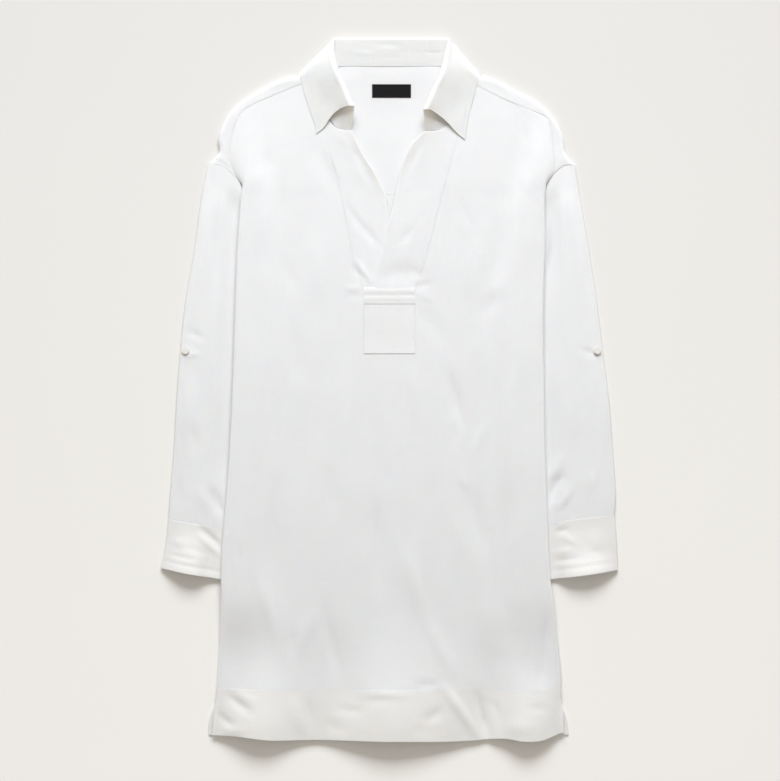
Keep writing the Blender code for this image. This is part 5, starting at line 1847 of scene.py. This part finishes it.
class DRESS_OT_stage(bpy.types.Operator):
    """Pale floor, soft light and the camera straight overhead"""
    bl_idname = "dress.stage"
    bl_label = "Stage"

    def execute(self, context):
        stage = context.scene.dress_stage
        bpy.ops.object.select_all(action="DESELECT")
        bpy.ops.mesh.primitive_plane_add(size=FLOOR_SIZE, location=(0, 0, 0))
        floor = context.object
        floor.name = "floor"
        bpy.ops.object.mode_set(mode="EDIT")
        bpy.ops.mesh.select_all(action="SELECT")
        bpy.ops.mesh.subdivide(number_cuts=7)
        bpy.ops.object.mode_set(mode="OBJECT")
        for vert in floor.data.vertices:
            vert.co.z = -FLOOR_DROP * MM
        floor.data.materials.append(floor_finish(stage.floor_colour))

        for softbox, power in zip(SOFTBOXES, (stage.window_power, stage.ceiling_power)):
            light = bpy.data.lights.new(softbox.name, "AREA")
            light.shape = "RECTANGLE"
            light.size, light.size_y = softbox.size
            light.energy = power
            light.color = softbox.colour
            lamp = bpy.data.objects.new(softbox.name, light)
            lamp.location = softbox.place
            lamp.rotation_euler = (Vector() - Vector(softbox.place)).to_track_quat("-Z", "Y").to_euler()
            context.scene.collection.objects.link(lamp)

        world = bpy.data.worlds.new("room")
        world.use_nodes = True
        background = world.node_tree.nodes["Background"]
        background.inputs["Color"].default_value = (*ROOM_COLOUR, 1)
        background.inputs["Strength"].default_value = stage.room_light
        context.scene.world = world
        context.scene.view_settings.view_transform = "Standard"

        camera = bpy.data.cameras.new("overhead")
        camera.sensor_width = 36.0
        clear = stage.camera_height - PICTURE_LEVEL * MM
        camera.lens = camera.sensor_width * clear / (PICTURE_ROWS * stage.pixel_size)
        camera.clip_end = 50.0
        overhead = bpy.data.objects.new("overhead", camera)
        overhead.location = (-CENTRE_X * MM, (PICTURE_MIDDLE_Y - CENTRE_Y) * MM, stage.camera_height)
        context.scene.collection.objects.link(overhead)
        context.scene.camera = overhead
        return {"FINISHED"}


class DRESS_PT_sidebar(bpy.types.Panel):
    """Lists the pieces of the dress and their values"""
    bl_idname = "DRESS_PT_sidebar"
    bl_label = "Laid dress"
    bl_space_type = "VIEW_3D"
    bl_region_type = "UI"
    bl_category = "Dress"

    def draw(self, context):
        column_of_rows = self.layout.column()
        for group in (context.scene.dress_cloth, context.scene.dress_stage):
            for name in group.bl_rna.properties.keys():
                if name not in ("rna_type", "name"):
                    column_of_rows.prop(group, name)
        for piece in PIECES:
            column_of_rows.operator(piece.bl_idname)


PIECES = (DRESS_OT_stage, DRESS_OT_back, DRESS_OT_sleeves, DRESS_OT_yoke, DRESS_OT_front, DRESS_OT_placket,
          DRESS_OT_collar, DRESS_OT_label, DRESS_OT_buttons, DRESS_OT_stitches)
CLASSES = (DressCloth, DressStage, *PIECES, DRESS_PT_sidebar)


def register():
    for one in CLASSES:
        bpy.utils.register_class(one)
    bpy.types.Scene.dress_cloth = bpy.props.PointerProperty(type=DressCloth)
    bpy.types.Scene.dress_stage = bpy.props.PointerProperty(type=DressStage)


def unregister():
    del bpy.types.Scene.dress_stage
    del bpy.types.Scene.dress_cloth
    for one in reversed(CLASSES):
        bpy.utils.unregister_class(one)


def main():
    register()
    for piece in PIECES:
        group, name = piece.bl_idname.split(".")
        getattr(getattr(bpy.ops, group), name)()


if __name__ == "__main__":
    main()
